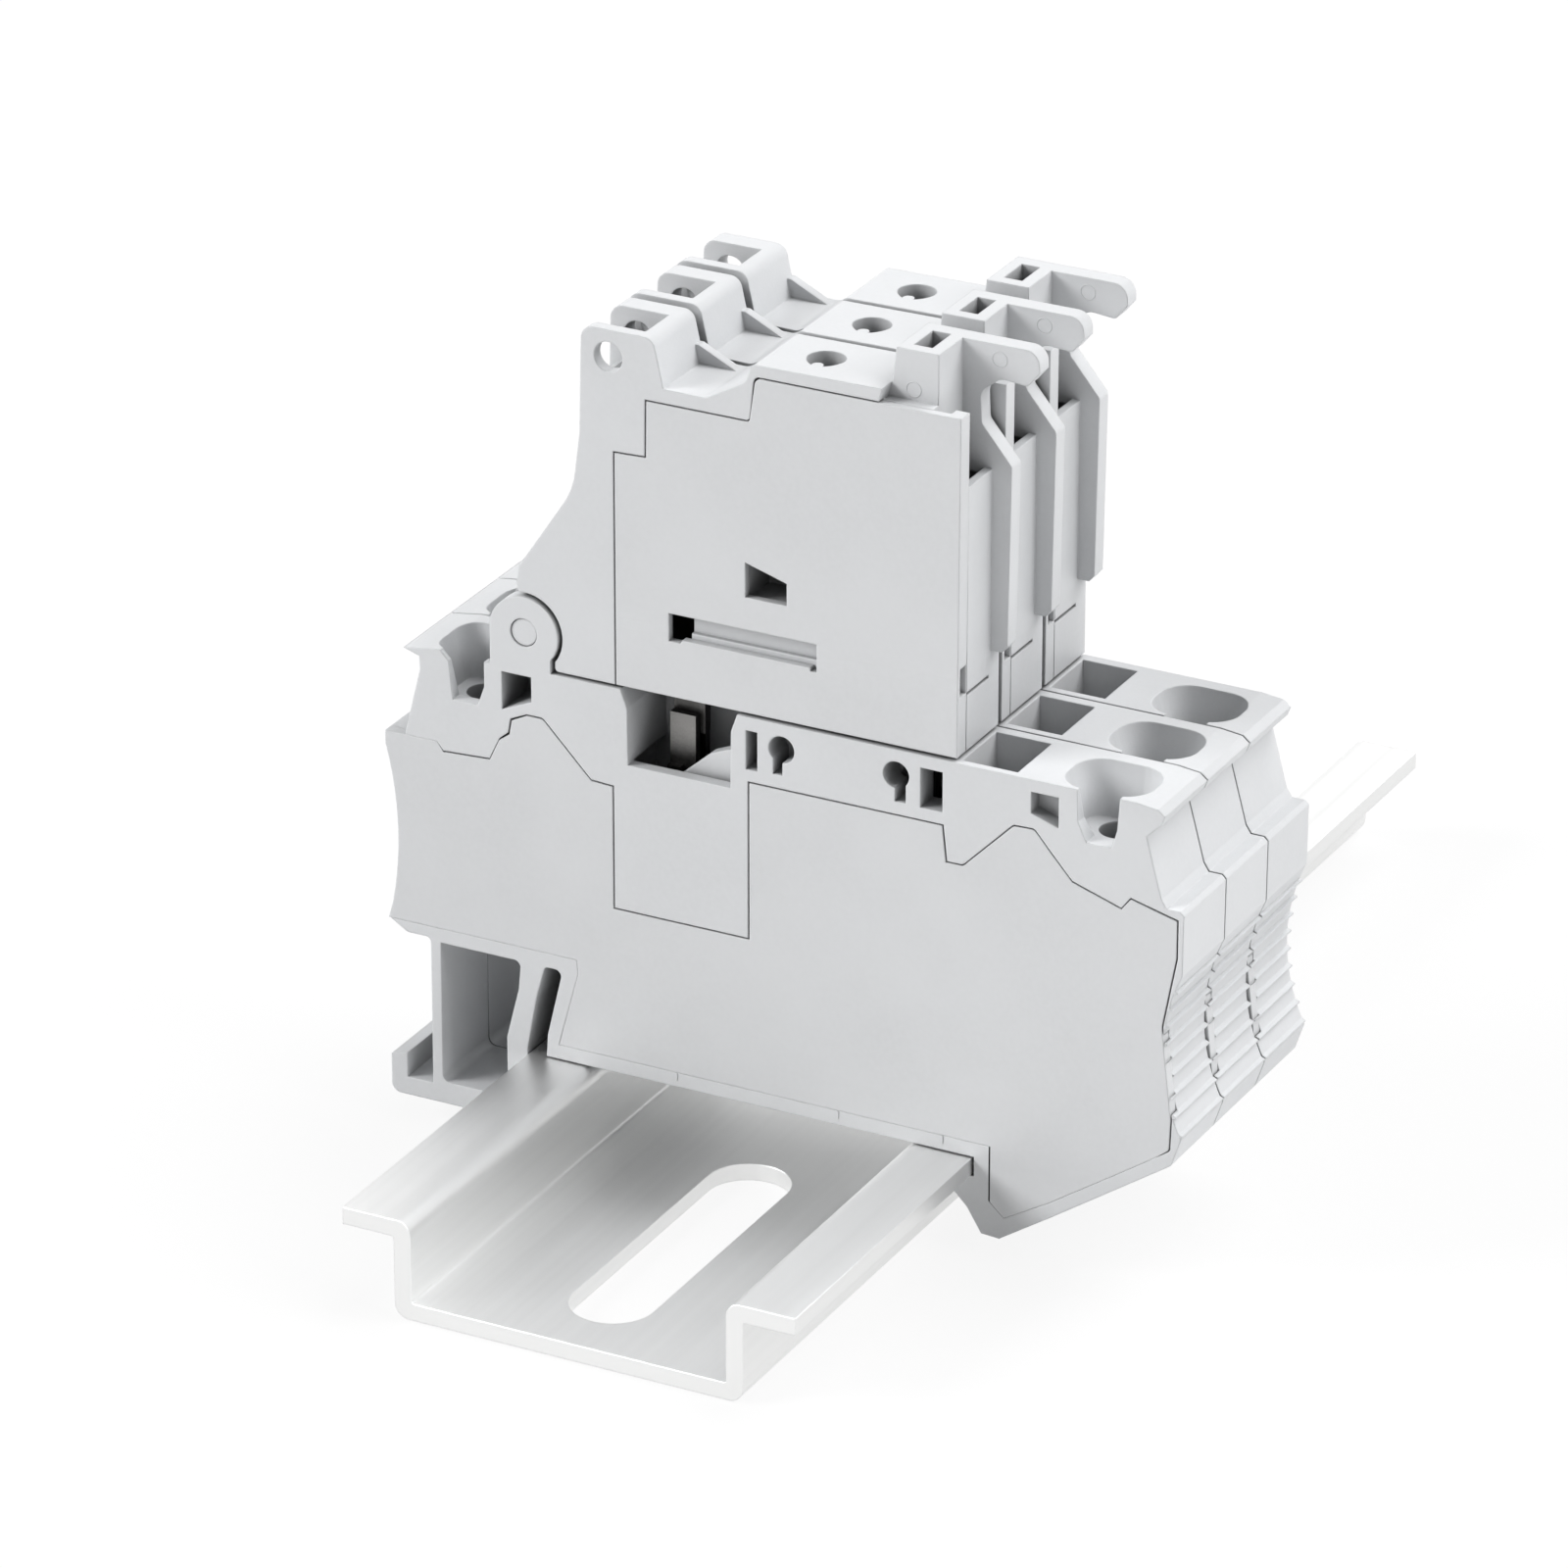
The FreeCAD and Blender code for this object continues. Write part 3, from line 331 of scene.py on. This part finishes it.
def painted_shade_mask(tree, distance, low, high):
    """Mask for painted shade: one on open faces, falling to nothing in the depth of a recess."""
    open_sky = tree.nodes.new("ShaderNodeAmbientOcclusion")
    open_sky.samples = RECESS_SAMPLES
    open_sky.inputs["Distance"].default_value = distance
    return ramp(tree, open_sky.outputs["AO"], low, high)


def crease_normal(tree, place, height, rise, normal):
    """Normal of a face whose part under a slightly tilted line stands out a little."""
    across = tree.nodes.new("ShaderNodeVectorMath")
    across.operation = "DOT_PRODUCT"
    across.inputs[1].default_value = (-CREASE_SLOPE, 0, 1)
    tree.links.new(place, across.inputs[0])
    low = height - CREASE_WIDTH / 2
    high = height + CREASE_WIDTH / 2
    step = ramp(tree, across.outputs["Value"], low, high, rise, 0.0)
    return bump(tree, step, 1.0, normal=normal)


def moulded_plastic(name, colour, roughness, edge_radius, crease=None):
    """Fine-grained grey polyamide with rounded edges, a painted highlight along them and painted
    shade in its recesses.
    """
    material, tree, shader, place = new_material(name)
    rounded, edge = edge_line(tree, edge_radius)
    if crease:
        rounded = crease_normal(tree, place, *crease, rounded)
    clouds = noise(tree, place, PLASTIC_CLOUDS, 3)
    speckle = noise(tree, place, PLASTIC_SPECKLE, 2)
    patches = ramp(tree, clouds, 0.35, 0.65)
    base = blend_colours(tree, patches, shade_of(colour, 0.975), shade_of(colour, 1.02))
    grain = ramp(tree, speckle, 0.3, 0.7, 0.0, 0.35)
    grained = blend_colours(tree, grain, base, shade_of(colour, 1.05))
    # Painted highlight: the colour goes paler along rounded edges.
    edge_highlight = ramp(tree, edge, 0.0, 1.0, 0.0, 0.55)
    highlit_plastic = blend_colours(tree, edge_highlight, grained, shade_of(colour, EDGE_HIGHLIGHT))
    # Painted shade: the colour darkens in the depths of recesses.
    recess = painted_shade_mask(tree, RECESS_REACH, 0.06, 0.5)
    in_painted_shade = blend_colours(tree, recess, shade_of(colour, RECESS_SHADE), highlit_plastic)
    tree.links.new(in_painted_shade, shader.inputs["Base Color"])
    flow = noise(tree, place, PLASTIC_FLOW, 2, (1, 1, 0.35))
    gloss = ramp(tree, flow, 0.3, 0.7, roughness - 0.05, roughness + 0.06)
    tree.links.new(gloss, shader.inputs["Roughness"])
    fine = noise(tree, place, PLASTIC_GRAIN, 2)
    relief = bump(tree, fine, PLASTIC_GRAIN_DEPTH, 0.5, rounded)
    tree.links.new(relief, shader.inputs["Normal"])
    shader.inputs["Specular IOR Level"].default_value = PLASTIC_SPECULAR
    return material


def drawn_aluminium(name, colour, roughness):
    """Satin rail with fine drawing lines along it, bright sawn ends and a painted highlight along
    its edges.
    """
    material, tree, shader, place = new_material(name)
    rounded, edge = edge_line(tree, RAIL_EDGE)
    lines = noise(tree, place, RAIL_LINES, 4, (1, 0.012, 1))
    patches = noise(tree, place, RAIL_PATCHES, 3, (1, 0.3, 1))
    drawn = ramp(tree, lines, 0.3, 0.7)
    base = blend_colours(tree, drawn, shade_of(colour, 0.975), shade_of(colour, 1.02))
    dull = ramp(tree, patches, 0.4, 0.7, 0.0, 0.4)
    dulled = blend_colours(tree, dull, base, shade_of(colour, 0.96))
    faces = tree.nodes.new("ShaderNodeNewGeometry")
    split = tree.nodes.new("ShaderNodeSeparateXYZ")
    tree.links.new(faces.outputs["Normal"], split.inputs["Vector"])
    square = tree.nodes.new("ShaderNodeMath")
    square.operation = "MULTIPLY"
    tree.links.new(split.outputs["Y"], square.inputs[0])
    tree.links.new(split.outputs["Y"], square.inputs[1])
    sawn = ramp(tree, square.outputs["Value"], 0.9, 0.98)
    bright = blend_colours(tree, sawn, dulled, shade_of(colour, 1.02))
    # Painted highlight: the rail goes nearly white along rounded edges.
    edge_highlight = ramp(tree, edge, 0.0, 1.0, 0.0, 0.6)
    highlit_rail = blend_colours(tree, edge_highlight, bright, RAIL_HIGHLIGHT_COLOUR)
    tree.links.new(highlit_rail, shader.inputs["Base Color"])
    shader.inputs["Metallic"].default_value = RAIL_METALLIC
    gloss = ramp(tree, lines, 0.2, 0.8, roughness - 0.03, roughness + 0.05)
    tree.links.new(gloss, shader.inputs["Roughness"])
    tree.links.new(bump(tree, lines, LINE_DEPTH, 0.25, rounded), shader.inputs["Normal"])
    return material


def plated_metal(name, colour, roughness, grain=(1, 1, 0.1)):
    """Plated or rolled strip metal with rolling marks and smudges, and painted shade where it is
    buried.
    """
    material, tree, shader, place = new_material(name)
    marks = noise(tree, place, METAL_MARKS, 3, grain)
    smudges = noise(tree, place, METAL_SMUDGES, 3)
    handled = ramp(tree, smudges, 0.35, 0.7)
    base = blend_colours(tree, handled, colour, shade_of(colour, 0.86))
    # Painted shade: buried metal goes nearly black.
    buried = painted_shade_mask(tree, METAL_REACH, 0.55, 1.0)
    in_painted_shade = blend_colours(tree, buried, shade_of(colour, METAL_SHADE), base)
    tree.links.new(in_painted_shade, shader.inputs["Base Color"])
    shader.inputs["Metallic"].default_value = 1.0
    gloss = ramp(tree, marks, 0.2, 0.8, roughness - 0.06, roughness + 0.1)
    tree.links.new(gloss, shader.inputs["Roughness"])
    tree.links.new(bump(tree, marks, LINE_DEPTH, 0.4), shader.inputs["Normal"])
    return material


def tube_glass(name):
    """Clear fuse glass with faint drawing streaks."""
    material, tree, shader, place = new_material(name)
    streaks = noise(tree, place, GLASS_STREAKS, 2, (0.05, 1, 1))
    drawn = ramp(tree, streaks, 0.3, 0.7)
    tint = blend_colours(tree, drawn, *GLASS_TINTS)
    tree.links.new(tint, shader.inputs["Base Color"])
    shader.inputs["Transmission Weight"].default_value = 1.0
    shader.inputs["IOR"].default_value = GLASS_INDEX
    tree.links.new(ramp(tree, streaks, 0.2, 0.8, 0.02, 0.08), shader.inputs["Roughness"])
    return material


# Mesh helpers

def prism(outline, front, back):
    """Closed solid of an outline in X and Z, from one Y to another."""
    mesh = bpy.data.meshes.new("prism")
    shape = bmesh.new()
    face = shape.faces.new([shape.verts.new((x, front, z)) for x, z in outline])
    grown = bmesh.ops.extrude_face_region(shape, geom=[face])
    corners = [part for part in grown["geom"] if isinstance(part, bmesh.types.BMVert)]
    bmesh.ops.translate(shape, verts=corners, vec=(0, back - front, 0))
    bmesh.ops.recalc_face_normals(shape, faces=shape.faces)
    shape.to_mesh(mesh)
    shape.free()
    item = bpy.data.objects.new("prism", mesh)
    bpy.context.scene.collection.objects.link(item)
    return item


def merged_copy(name, node):
    """A copy of a node's mesh with its loose triangles joined."""
    mesh = nodes[node].data.copy()
    shape = bmesh.new()
    shape.from_mesh(mesh)
    bmesh.ops.remove_doubles(shape, verts=shape.verts, dist=MERGE_WITHIN)
    shape.to_mesh(mesh)
    shape.free()
    if "custom_normal" in mesh.attributes:
        mesh.attributes.remove(mesh.attributes["custom_normal"])
    mesh.materials.clear()
    item = bpy.data.objects.new(name, mesh)
    bpy.context.scene.collection.objects.link(item)
    return item


def cut_away(item, cutter):
    """Takes a closed solid out of a piece."""
    modifier = item.modifiers.new("cut", "BOOLEAN")
    modifier.object = cutter
    modifier.operation = "DIFFERENCE"
    modifier.solver = "EXACT"
    seen = item.evaluated_get(bpy.context.evaluated_depsgraph_get())
    result = bpy.data.meshes.new_from_object(seen)
    item.modifiers.remove(modifier)
    item.data = result
    bpy.data.objects.remove(cutter)


def stand_in(item, node, body, material):
    """Shows a piece in place of the node that it was made from."""
    for face in item.data.polygons:
        face.use_smooth = True
    item.data.set_sharp_from_angle(angle=math.radians(SHARP_ANGLE))
    item.data.materials.clear()
    item.data.materials.append(material)
    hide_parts(node)
    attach(item, body)


# Node tree helpers

def shape_tree(name, inputs):
    """Geometry node tree with named inputs, and its group input and output nodes.

    Every tree has the input Places, because a modifier's tree has to take in geometry.
    """
    tree = bpy.data.node_groups.new(name, "GeometryNodeTree")
    kinds = {"Places": "NodeSocketGeometry", "Finish": "NodeSocketMaterial"}
    kinds.update(dict.fromkeys(("Start", "Middle", "End"), "NodeSocketVector"))
    for label in ("Places", *inputs):
        kind = kinds.get(label, "NodeSocketFloat")
        tree.interface.new_socket(label, in_out="INPUT", socket_type=kind)
    tree.interface.new_socket("Shape", in_out="OUTPUT", socket_type="NodeSocketGeometry")
    return tree, tree.nodes.new("NodeGroupInput"), tree.nodes.new("NodeGroupOutput")


def finish_tree(tree, given, output, geometry, smooth):
    """Ends a tree: real geometry, shading and material."""
    real = tree.nodes.new("GeometryNodeRealizeInstances")
    shading = tree.nodes.new("GeometryNodeSetShadeSmooth")
    shading.inputs["Shade Smooth"].default_value = smooth
    paint = tree.nodes.new("GeometryNodeSetMaterial")
    tree.links.new(geometry, real.inputs["Geometry"])
    tree.links.new(real.outputs["Geometry"], shading.inputs["Geometry"])
    tree.links.new(shading.outputs["Geometry"], paint.inputs["Geometry"])
    tree.links.new(given.outputs["Finish"], paint.inputs["Material"])
    tree.links.new(paint.outputs["Geometry"], output.inputs["Shape"])
    return tree


def ring_tree():
    """A round bead in the XZ plane on each point."""
    inputs = ("Ring radius", "Bead radius", "Finish")
    tree, given, output = shape_tree("ejector_rings", inputs)
    ring = tree.nodes.new("GeometryNodeCurvePrimitiveCircle")
    ring.inputs["Resolution"].default_value = RING_STEPS
    bead = tree.nodes.new("GeometryNodeCurvePrimitiveCircle")
    bead.inputs["Resolution"].default_value = BEAD_STEPS
    sweep = tree.nodes.new("GeometryNodeCurveToMesh")
    scatter = tree.nodes.new("GeometryNodeInstanceOnPoints")
    scatter.inputs["Rotation"].default_value = (math.pi / 2, 0, 0)
    tree.links.new(given.outputs["Ring radius"], ring.inputs["Radius"])
    tree.links.new(given.outputs["Bead radius"], bead.inputs["Radius"])
    tree.links.new(ring.outputs["Curve"], sweep.inputs["Curve"])
    tree.links.new(bead.outputs["Curve"], sweep.inputs["Profile Curve"])
    tree.links.new(given.outputs["Places"], scatter.inputs["Points"])
    tree.links.new(sweep.outputs["Mesh"], scatter.inputs["Instance"])
    return finish_tree(tree, given, output, scatter.outputs["Instances"], True)


def nib_tree():
    """A small upright block on each point."""
    inputs = ("Width", "Depth", "Height", "Finish")
    tree, given, output = shape_tree("gate_nibs", inputs)
    size = tree.nodes.new("ShaderNodeCombineXYZ")
    block = tree.nodes.new("GeometryNodeMeshCube")
    scatter = tree.nodes.new("GeometryNodeInstanceOnPoints")
    for label, axis in (("Width", "X"), ("Depth", "Y"), ("Height", "Z")):
        tree.links.new(given.outputs[label], size.inputs[axis])
    tree.links.new(size.outputs["Vector"], block.inputs["Size"])
    tree.links.new(given.outputs["Places"], scatter.inputs["Points"])
    tree.links.new(block.outputs["Mesh"], scatter.inputs["Instance"])
    return finish_tree(tree, given, output, scatter.outputs["Instances"], False)


def wire_tree():
    """A round wire from Start to End, bent towards Middle."""
    inputs = ("Start", "Middle", "End", "Wire radius", "Finish")
    tree, given, output = shape_tree("fuse_wire_path", inputs)
    path = tree.nodes.new("GeometryNodeCurveQuadraticBezier")
    path.inputs["Resolution"].default_value = WIRE_STEPS
    section = tree.nodes.new("GeometryNodeCurvePrimitiveCircle")
    section.inputs["Resolution"].default_value = WIRE_SIDES
    sweep = tree.nodes.new("GeometryNodeCurveToMesh")
    sweep.inputs["Fill Caps"].default_value = True
    for label in ("Start", "Middle", "End"):
        tree.links.new(given.outputs[label], path.inputs[label])
    tree.links.new(given.outputs["Wire radius"], section.inputs["Radius"])
    tree.links.new(path.outputs["Curve"], sweep.inputs["Curve"])
    tree.links.new(section.outputs["Curve"], sweep.inputs["Profile Curve"])
    return finish_tree(tree, given, output, sweep.outputs["Mesh"], True)


def grown(name, tree, values, places=()):
    """Plain mesh object that a node tree makes on the given points."""
    mesh = bpy.data.meshes.new(name + "_places")
    mesh.from_pydata(list(places), [], [])
    carrier = bpy.data.objects.new(name + "_places", mesh)
    bpy.context.scene.collection.objects.link(carrier)
    modifier = carrier.modifiers.new("shape", "NODES")
    modifier.node_group = tree
    for socket in tree.interface.items_tree:
        if socket.in_out == "INPUT" and socket.name in values:
            modifier[socket.identifier] = values[socket.name]
    seen = carrier.evaluated_get(bpy.context.evaluated_depsgraph_get())
    result = bpy.data.meshes.new_from_object(seen)
    carrier.modifiers.remove(modifier)
    bpy.data.objects.remove(carrier)
    result.name = name
    item = bpy.data.objects.new(name, result)
    bpy.context.scene.collection.objects.link(item)
    return item


def dress(name, material):
    """Gives a node of the model its finish."""
    item = nodes[name]
    item.data.materials.clear()
    item.data.materials.append(material)


# Pieces

def side_plate(way, material):
    """A side cover whose lower rim closes on the housing, as the moulded one does.

    Both rim faces at a corner move out by the same amount, but never past the cover's left end.
    """
    node = "side_cover_%d" % way
    item = merged_copy("side_plate_%d" % way, node)
    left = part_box(node)[0][0]
    shape = bmesh.new()
    shape.from_mesh(item.data)
    shape.normal_update()
    moves = []
    for corner in shape.verts:
        if corner.co.z > RIM_TOP or corner.co.x > RIM_RIGHT:
            continue
        sides = [face.normal for face in corner.link_faces if abs(face.normal.y) < RIM_LEAN]
        first = sides[0]
        second = min(sides, key=first.dot)
        reach = (COVER_SEAM - RIM_GAP) / (1 + first.dot(second))
        moves.append((corner, (first + second) * reach))
    for corner, move in moves:
        corner.co += move
        corner.co.x = max(corner.co.x, left)
    shape.to_mesh(item.data)
    shape.free()
    stand_in(item, node, "base", material)


def lever_shell(way, material):
    """A lever with its lock eye open to the left and its block set back down to the cover."""
    item = merged_copy("lever_shell_%d" % way, "lever_%d" % way)
    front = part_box("housing_%d" % way)[0][1]
    cut_away(item, prism(EYE_OUTLINE, front + EYE_SHEET, front + EYE_BACK))
    cut_away(item, prism(BLOCK_OUTLINE, front - CUT_START, front + BLOCK_SETBACK))
    stand_in(item, "lever_%d" % way, "holder_%d" % way, material)


class TERMINAL_OT_mouldings(bpy.types.Operator):
    """Finish the housings, side covers, levers and lever covers"""

    bl_idname = "terminal.mouldings"
    bl_label = "Mouldings"

    def execute(self, context):
        settings = context.scene.terminal_mouldings
        shell_colour, cover_colour = tuple(settings.shell_colour), tuple(settings.cover_colour)
        surface = (settings.roughness, settings.edge_radius)
        crease = (settings.crease_height, settings.crease_rise)
        shell = moulded_plastic("housing_polyamide", shell_colour, *surface)
        cover = moulded_plastic("cover_polyamide", cover_colour, *surface)
        creased = moulded_plastic("lever_cover_polyamide", cover_colour, *surface, crease)
        for way in WAYS:
            dress("housing_%d" % way, shell)
            dress("lever_cover_%d" % way, creased)
            side_plate(way, cover)
            lever_shell(way, shell)
        return {"FINISHED"}


class TERMINAL_OT_marks(bpy.types.Operator):
    """Add the ejector rings of the levers and the gate nibs of the housings"""

    bl_idname = "terminal.marks"
    bl_label = "Moulding marks"

    def execute(self, context):
        settings = context.scene.terminal_marks
        colours = context.scene.terminal_mouldings
        plastic = moulded_plastic("mark_polyamide", tuple(colours.shell_colour), colours.roughness,
                                  MARK_EDGE)
        rings, nibs = ring_tree(), nib_tree()
        ring_sizes = {"Ring radius": settings.ring_radius, "Bead radius": settings.ring_bead}
        nib_sizes = {"Width": settings.nib_width, "Depth": 2 * settings.nib_proud,
                     "Height": settings.nib_height}
        feet = []
        for way in WAYS:
            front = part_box("housing_%d" % way)[0][1]
            spots = [(x, front + setback, z) for (x, z), setback in
                     ((BLOCK_RING, BLOCK_SETBACK), (FLANGE_RING, FLANGE_SETBACK))]
            item = grown("ejector_rings_%d" % way, rings, {**ring_sizes, "Finish": plastic}, spots)
            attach(item, "holder_%d" % way)
            feet += [(x, front, z) for x, z in NIB_SPOTS]
        item = grown("gate_nibs", nibs, {**nib_sizes, "Finish": plastic}, feet)
        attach(item, "base")
        return {"FINISHED"}


class TERMINAL_OT_rail(bpy.types.Operator):
    """Finish the rail"""

    bl_idname = "terminal.rail"
    bl_label = "Rail"

    def execute(self, context):
        settings = context.scene.terminal_rail
        satin = drawn_aluminium("rail_aluminium", tuple(settings.colour), settings.roughness)
        dress("rail", satin)
        return {"FINISHED"}


class TERMINAL_OT_metalwork(bpy.types.Operator):
    """Finish the current bars, lever contacts and clamp springs"""

    bl_idname = "terminal.metalwork"
    bl_label = "Metalwork"

    def execute(self, context):
        settings = context.scene.terminal_metal
        tinned = plated_metal("tinned_copper", tuple(settings.contact_colour), TINNED_ROUGHNESS)
        steel = plated_metal("spring_steel", tuple(settings.spring_colour), SPRING_ROUGHNESS)
        for way in WAYS:
            for side in ("left", "right"):
                dress("current_bar_%s_%d" % (side, way), tinned)
                dress("lever_contact_%s_%d" % (side, way), tinned)
                dress("clamp_spring_%s_%d" % (side, way), steel)
        return {"FINISHED"}


class TERMINAL_OT_fuses(bpy.types.Operator):
    """Finish the cartridge fuses"""

    bl_idname = "terminal.fuses"
    bl_label = "Fuses"

    def execute(self, context):
        settings = context.scene.terminal_fuses
        path = wire_tree()
        glass = tube_glass("fuse_glass")
        along = (0.1, 1, 1)
        nickel = plated_metal("fuse_cap_nickel", CAP_COLOUR, CAP_ROUGHNESS, along)
        wire = plated_metal("fuse_wire_silver", WIRE_COLOUR, WIRE_ROUGHNESS, along)
        for way in WAYS:
            dress("fuse_glass_%d" % way, glass)
            low, high = (Vector(corner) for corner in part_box("fuse_wire_%d" % way))
            start = Vector((low.x, (low.y + high.y) / 2, (low.z + high.z) / 2))
            end = Vector((high.x, start.y, start.z))
            middle = (start + end) / 2 - Vector((0, 0, 2 * settings.wire_sag))
            item = grown("fuse_element_%d" % way, path,
                         {"Start": start, "Middle": middle, "End": end,
                          "Wire radius": settings.wire_radius, "Finish": wire})
            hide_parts("fuse_wire_%d" % way)
            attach(item, "holder_%d" % way)
            for side in ("left", "right"):
                dress("fuse_cap_%s_%d" % (side, way), nickel)
        return {"FINISHED"}


def lay_floor(settings):
    """Pale paper under the block, which the camera sees as nearly plain white."""
    mesh = bpy.data.meshes.new("floor")
    shape = bmesh.new()
    bmesh.ops.create_grid(shape, x_segments=1, y_segments=1, size=FLOOR_SIZE,
                          matrix=Matrix.Translation((0, 0, -FLOOR_DROP)))
    shape.to_mesh(mesh)
    shape.free()
    floor = bpy.data.objects.new("floor", mesh)
    bpy.context.scene.collection.objects.link(floor)
    material, tree, shader, place = new_material("floor_paper")
    plain = tuple(settings.floor_colour)
    patches = noise(tree, place, FLOOR_PATCHES, 2)
    paper = blend_colours(tree, patches, shade_of(plain, FLOOR_SHADE), plain)
    tree.links.new(paper, shader.inputs["Base Color"])
    shader.inputs["Roughness"].default_value = FLOOR_ROUGHNESS
    white = tree.nodes.new("ShaderNodeEmission")
    white.inputs["Color"].default_value = (1, 1, 1, 1)
    white.inputs["Strength"].default_value = 1.0
    both = tree.nodes.new("ShaderNodeMixShader")
    glow = ramp(tree, ray_mask(tree), 0.0, 1.0, 0.0, settings.floor_glow)
    tree.links.new(glow, both.inputs[0])
    tree.links.new(shader.outputs["BSDF"], both.inputs[1])
    tree.links.new(white.outputs["Emission"], both.inputs[2])
    tree.links.new(both.outputs["Shader"], tree.nodes["Material Output"].inputs["Surface"])
    mesh.materials.append(material)


def light_sky(settings):
    """Even light from all round, white to the camera and in reflections."""
    world = bpy.data.worlds.new("studio")
    bpy.context.scene.world = world
    world.use_nodes = True
    tree = world.node_tree
    tree.nodes.clear()
    output = tree.nodes.new("ShaderNodeOutputWorld")
    background = tree.nodes.new("ShaderNodeBackground")
    background.inputs["Color"].default_value = (1, 1, 1, 1)
    strength = ramp(tree, ray_mask(tree), 0.0, 1.0, settings.sky_strength, 1.0)
    tree.links.new(strength, background.inputs["Strength"])
    tree.links.new(background.outputs["Background"], output.inputs["Surface"])


def hang_lamps(settings):
    """Three wide, soft lights."""
    lamps = (("key", settings.key_strength, KEY_WIDTH, KEY_TOWARDS),
             ("side", settings.side_strength, SIDE_WIDTH, SIDE_TOWARDS),
             ("back", settings.back_strength, BACK_WIDTH, BACK_TOWARDS))
    for name, strength, width, towards in lamps:
        light = bpy.data.lights.new(name, "SUN")
        light.energy = strength
        light.angle = math.radians(width)
        lamp = bpy.data.objects.new(name, light)
        lamp.rotation_mode = "QUATERNION"
        lamp.rotation_quaternion = Vector(towards).to_track_quat("Z", "Y")
        bpy.context.scene.collection.objects.link(lamp)


def place_camera():
    """The camera that matches the photograph's view."""
    turn, tilt = CAMERA_AZIMUTH, CAMERA_ELEVATION
    right = Vector((math.cos(turn), math.sin(turn), 0))
    back = Vector((math.sin(turn) * math.cos(tilt), -math.cos(turn) * math.cos(tilt),
                   math.sin(tilt)))
    up = back.cross(right)
    camera_data = bpy.data.cameras.new("camera")
    camera_data.sensor_width = CAMERA_SENSOR
    camera_data.lens = CAMERA_LENS
    camera_data.clip_start = CAMERA_NEAR
    camera_data.clip_end = CAMERA_FAR
    camera = bpy.data.objects.new("camera", camera_data)
    aim = Matrix((right, up, back)).transposed().to_4x4()
    camera.matrix_world = Matrix.Translation(CAMERA_PLACE) @ aim
    bpy.context.scene.collection.objects.link(camera)
    bpy.context.scene.camera = camera


class TERMINAL_OT_stage(bpy.types.Operator):
    """Set the pale floor, the soft light and the camera"""

    bl_idname = "terminal.stage"
    bl_label = "Stage"

    def execute(self, context):
        settings = context.scene.terminal_stage
        lay_floor(settings)
        light_sky(settings)
        hang_lamps(settings)
        place_camera()
        context.scene.view_settings.view_transform = "Standard"
        return {"FINISHED"}


class TERMINAL_PT_block(bpy.types.Panel):
    """Lists the pieces of the block"""

    bl_idname = "TERMINAL_PT_block"
    bl_label = "Fuse terminal block"
    bl_space_type = "VIEW_3D"
    bl_region_type = "UI"
    bl_category = "Terminal"

    def draw(self, context):
        for group in GROUPS:
            settings = getattr(context.scene, group)
            box = self.layout.box()
            for name in settings.__annotations__:
                box.prop(settings, name)
        for piece in PIECES:
            self.layout.operator(piece.bl_idname)


GROUPS = {
    "terminal_mouldings": MouldingSettings,
    "terminal_marks": MarkSettings,
    "terminal_rail": RailSettings,
    "terminal_metal": MetalSettings,
    "terminal_fuses": FuseSettings,
    "terminal_stage": StageSettings,
}
PIECES = (
    TERMINAL_OT_mouldings,
    TERMINAL_OT_marks,
    TERMINAL_OT_rail,
    TERMINAL_OT_metalwork,
    TERMINAL_OT_fuses,
    TERMINAL_OT_stage,
)


def register():
    for name, group in GROUPS.items():
        bpy.utils.register_class(group)
        setattr(bpy.types.Scene, name, bpy.props.PointerProperty(type=group))
    for piece in PIECES:
        bpy.utils.register_class(piece)
    bpy.utils.register_class(TERMINAL_PT_block)


def unregister():
    bpy.utils.unregister_class(TERMINAL_PT_block)
    for piece in reversed(PIECES):
        bpy.utils.unregister_class(piece)
    for name, group in GROUPS.items():
        delattr(bpy.types.Scene, name)
        bpy.utils.unregister_class(group)


def main():
    register()
    bpy.ops.terminal.mouldings()
    bpy.ops.terminal.marks()
    bpy.ops.terminal.rail()
    bpy.ops.terminal.metalwork()
    bpy.ops.terminal.fuses()
    bpy.ops.terminal.stage()


if __name__ == "__main__":
    main()
